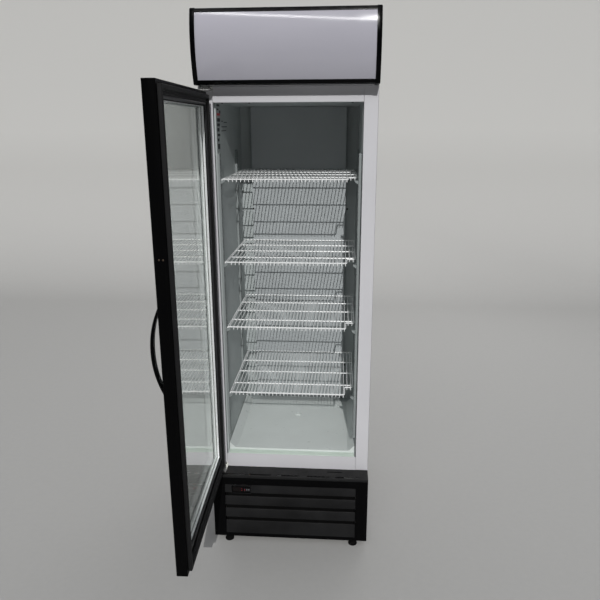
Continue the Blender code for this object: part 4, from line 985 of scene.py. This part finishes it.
def light_box():
    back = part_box("canopy_housing")[1].y - ORIGIN.y
    for side, sign in (("left", -1), ("right", 1)):
        arc = face_arc(CANOPY_LOW, CANOPY_TOP, 22)
        corners = [(back, CANOPY_LOW, 0.004), (arc[0][0], arc[0][1], 0.005)]
        corners += [(y, z, 0.0) for y, z in arc[2:-3]]
        corners += [(arc[-1][0], arc[-1][1], 0.010), (back, CANOPY_TOP, 0.004)]
        outline = rounded(corners, 6)
        bm = bmesh.new()
        outer, inner = sign * HALF, sign * (HALF - CAP_T)
        loops = [[Vector((inner, y, z)) for y, z in outline]]
        for x, inset in ((outer - sign * 0.0022, 0.0), (outer - sign * 0.0007, 0.0006),
                         (outer, 0.0020)):
            loops.append([Vector((x, y, z)) for y, z in inset_outline(outline, inset)])
        add_loops(bm, loops)
        cap = piece(f"canopy_cap_{side}", bm, "canopy", "cabinet",
                    replaces=(f"canopy_end_{side}",), angle=28)
        if sign > 0:
            bm = bmesh.new()
            for name in ("light_switch_upper", "light_switch_lower"):
                a, b = cab_box(name)
                add_block(bm, (HALF - 0.011, a.y - 0.0007, a.z - 0.0013),
                          (HALF + 0.01, b.y + 0.0007, b.z + 0.0013), 0.0)
            carve(cap, bm)
    reach = HALF - CAP_T - 0.0003
    bm = bmesh.new()
    for z0, z1, lip in ((CANOPY_LOW + PROUD, CANOPY_LOW + TRIM, 1),
                        (CANOPY_TOP - TRIM, CANOPY_TOP - PROUD, -1)):
        nose = face_arc(z0, z1, 4, 0.0010)
        corners = [(nose[0][0], z0, 0.0035 if lip > 0 else 0.0008)]
        corners += [(y, z, 0.0) for y, z in nose[1:-1]]
        corners += [(nose[-1][0], z1, 0.0008 if lip > 0 else 0.007),
                    (nose[-1][0] + 0.030, z1, 0.0005), (nose[0][0] + 0.030, z0, 0.0005)]
        outline = rounded(corners, 5)
        add_prism(bm, outline, "X", -reach, reach)
    piece("canopy_trims", bm, "canopy", "cabinet",
          replaces=("canopy_trim_bottom", "canopy_trim_top"), angle=28)
    bm = bmesh.new()
    outer = face_arc(CANOPY_LOW + TRIM + 0.0002, CANOPY_TOP - TRIM - 0.0002, 32, 0.0026)
    outline = outer + [(y + 0.003, z) for y, z in reversed(outer)]
    add_prism(bm, outline, "X", -reach, reach)
    piece("sign_sheet", bm, "sign", "cabinet", replaces=("sign_panel",))
    bm = bmesh.new()
    for sign in (-1, 1):
        for y, z in ((0.105, 1.800), (0.105, 2.000), (-0.040, 1.797)):
            add_screw(bm, (sign * HALF, y, z), "X", sign, 0.003, 0.0010)
    piece("canopy_screws", bm, "screw", "cabinet")


def inset_outline(points, inset):
    """Moves a closed outline inwards by a small amount along its corner normals."""
    if inset <= 0.0:
        return points
    area = sum(a[0] * b[1] - b[0] * a[1] for a, b in zip(points, points[1:] + points[:1]))
    side = 1.0 if area > 0 else -1.0
    moved = []
    for index, point in enumerate(points):
        before = Vector(points[index - 1])
        after = Vector(points[(index + 1) % len(points)])
        along = (after - before).normalized()
        moved.append((point[0] - along.y * inset * side, point[1] + along.x * inset * side))
    return moved


# ---- door -------------------------------------------------------------------------
SIGHT = (0.050, DOOR_WIDTH - 0.050, DOOR_LOW + 0.074, DOOR_TOP - 0.049)
OUTER = (0.0, DOOR_WIDTH, DOOR_LOW, DOOR_TOP)
SCREW_Z = 1.315
EDGE_SCREWS = (0.0140, 0.0250)    # depths of the two screws in the free edge
GRIP_RISE = 0.0315
GRIP_BAND = 0.0088
GRIP_POWER = 2.1     # how square the bow's shoulders are
GRIP_HALF_WIDTH = 0.0108
GRIP_FROM_EDGE = 0.026


def door_ring(name, corners, steps, material, replaces=(), angle=25):
    """A mitred ring round the door, rounded from its list of corners."""
    bm = bmesh.new()
    add_ring(bm, ring_profile(corners, steps), OUTER, SIGHT)
    return piece(name, bm, material, "door", DOOR_SEAT, replaces, angle)


def door_profiles():
    """Frame, glazing bead, gasket, spacer, sealant and reveal strip as mitred rings."""
    corners = [("o", 0.0, 0.0, 0.0022), ("i", 0.0, 0.0, 0.0016), ("i", 0.0, 0.0054, 0.0),
               ("i", 0.0125, 0.0054, 0.0), ("i", 0.0125, 0.0266, 0.0), ("i", 0.0, 0.0266, 0.0),
               ("i", 0.0, 0.0345, 0.0012), ("i", 0.0020, 0.0360, 0.0008),
               ("o", 0.0110, 0.0360, 0.0), ("o", 0.0100, 0.0350, 0.0004),
               ("o", 0.0085, 0.0350, 0.0004), ("o", 0.0078, 0.0360, 0.0004),
               ("o", 0.0, 0.0360, 0.0018)]
    frame_piece = door_ring("door_profile", corners, 4, "profile",
                            ("door_frame",))
    bm = bmesh.new()
    for z in (DOOR_TOP, DOOR_LOW):
        add_turned(bm, [(0.0, -0.020), (0.0045, -0.020), (0.0045, 0.020), (0.0, 0.020)],
                   (PIN_INSET, PIN_INSET, z), "Z", 20)
    for depth in EDGE_SCREWS:
        add_turned(bm, [(0.0, -0.0013), (0.0030, -0.0013), (0.0034, 0.0020), (0.0, 0.0020)],
                   (DOOR_WIDTH, depth, SCREW_Z), "X", 16)
    carve(frame_piece, bm)
    corners = [("i", 0.0035, 0.0363, 0.0), ("i", 0.0035, 0.0385, 0.0008),
               ("i", 0.0060, 0.0410, 0.0012), ("i", 0.0108, 0.0410, 0.0012),
               ("i", 0.0120, 0.0385, 0.0006), ("i", 0.0120, 0.0363, 0.0)]
    door_ring("glazing_bead", corners, 3, "bead", ("glass_bead",))
    corners = [("o", 0.0112, 0.0363, 0.0), ("o", 0.0112, 0.0462, 0.0008),
               ("o", 0.0130, 0.0478, 0.0012), ("o", 0.0222, 0.0478, 0.0012),
               ("o", 0.0238, 0.0462, 0.0008), ("o", 0.0246, 0.0425, 0.001),
               ("o", 0.0268, 0.0398, 0.0010), ("o", 0.0300, 0.0398, 0.0010),
               ("o", 0.0325, 0.0430, 0.0010), ("o", 0.0348, 0.0440, 0.0010),
               ("o", 0.0366, 0.0425, 0.0008), ("o", 0.0373, 0.0390, 0.0008),
               ("o", 0.0373, 0.0363, 0.0)]
    door_ring("gasket_bellows", corners, 3, "gasket", ("door_gasket",), 40)
    corners = [("i", -0.0060, 0.0104, 0.0008), ("i", -0.0060, 0.0135, 0.0),
               ("i", -0.0052, 0.0140, 0.0), ("i", -0.0052, 0.0180, 0.0),
               ("i", -0.0060, 0.0185, 0.0), ("i", -0.0060, 0.0216, 0.0008),
               ("i", 0.0085, 0.0216, 0.0), ("i", 0.0085, 0.0104, 0.0)]
    door_ring("spacer_bar", corners, 3, "spacer", ("glass_spacer",))
    corners = [("i", 0.0087, 0.0104, 0.0), ("i", 0.0119, 0.0104, 0.0), ("i", 0.0119, 0.0216, 0.0),
               ("i", 0.0087, 0.0216, 0.0)]
    door_ring("pane_sealant", corners, 1, "gasket")
    corners = [("i", -0.0010, 0.0268, 0.0), ("i", -0.0010, 0.0332, 0.0006),
               ("i", -0.0002, 0.0340, 0.0), ("i", -0.0002, 0.0268, 0.0)]
    door_ring("reveal_strip", corners, 3, "spacer")
    bm = bmesh.new()
    for depth in EDGE_SCREWS:
        add_screw(bm, (DOOR_WIDTH - 0.0010, depth, SCREW_Z), "X", 1, 0.0026, 0.0008)
    piece("door_edge_screws", bm, "brown_screw", "door", DOOR_SEAT)


def door_handle():
    """Bowed grip: a rounded band that rises from two flat feet on the door's outer face."""
    low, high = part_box("door_handle")
    z0, z1 = low.z, high.z
    middle, half = (z0 + z1) / 2, (z1 - z0) / 2
    centre = DOOR_WIDTH - GRIP_FROM_EDGE
    bm = bmesh.new()
    loops = []
    steps = 40
    section = rounded([(-GRIP_HALF_WIDTH, 0.0, 0.003), (GRIP_HALF_WIDTH, 0.0, 0.003),
                       (GRIP_HALF_WIDTH, GRIP_BAND, 0.002),
                       (-GRIP_HALF_WIDTH, GRIP_BAND, 0.002)], 3)
    for step in range(steps + 1):
        s = -1.0 + 2.0 * step / steps
        rise = GRIP_RISE * (1.0 - abs(s) ** GRIP_POWER)
        band = GRIP_BAND - 0.0045 * max(0.0, abs(s) - 0.85) / 0.15
        slope = -GRIP_RISE * GRIP_POWER * abs(s) ** (GRIP_POWER - 1) / half
        slope *= 1 if s > 0 else -1
        normal = Vector((0.0, -1.0, slope)).normalized()
        outer = Vector((0.0, -rise - 0.0012, middle + s * half))
        inner = outer - normal * band
        inner.y = min(inner.y, -0.0003)
        outer.y = min(outer.y, -0.0040)
        loop = []
        for u, depth in section:
            point = outer.lerp(inner, depth / GRIP_BAND)
            loop.append(Vector((centre + u, point.y, min(max(point.z, z0), z1))))
        loops.append(loop)
    add_loops(bm, loops)
    piece("handle_grip", bm, "profile", "door", DOOR_SEAT, ("door_handle",), 40)


# ---- build ------------------------------------------------------------------------
make_camera()
make_world()
make_light("key", "SUN", 2.05, (0, -3, 4), (-0.102, 1.0, -0.6), (1.0, 0.995, 0.98), angle=0.004)
strip = make_light("strip", "AREA", 30.0, (-0.45, -4.0, 4.65), (0.1, 1.0, -0.66),
                   shape="RECTANGLE", size=3.4, size_y=0.15)
strip.rotation_euler.rotate_axis("Z", math.radians(-22))
make_light("rear_soft", "AREA", 20.0, (1.2, 3.2, 2.6), (-0.35, -1.0, -0.55), size=2.0)
make_stage()
dress_cad_nodes()
for shelf_name, shelf_z in SHELVES.items():
    wire_shelf(shelf_name, shelf_z)
for upright in ("pilaster_front_left", "pilaster_front_right", "pilaster_rear_left",
                "pilaster_rear_right"):
    pilaster(upright, SHELVES.values())
interior_details()
care_label()
cabinet_screws()
front_grille()
controller()
light_box()
door_profiles()
door_handle()

bpy.context.scene.view_settings.view_transform = "Standard"
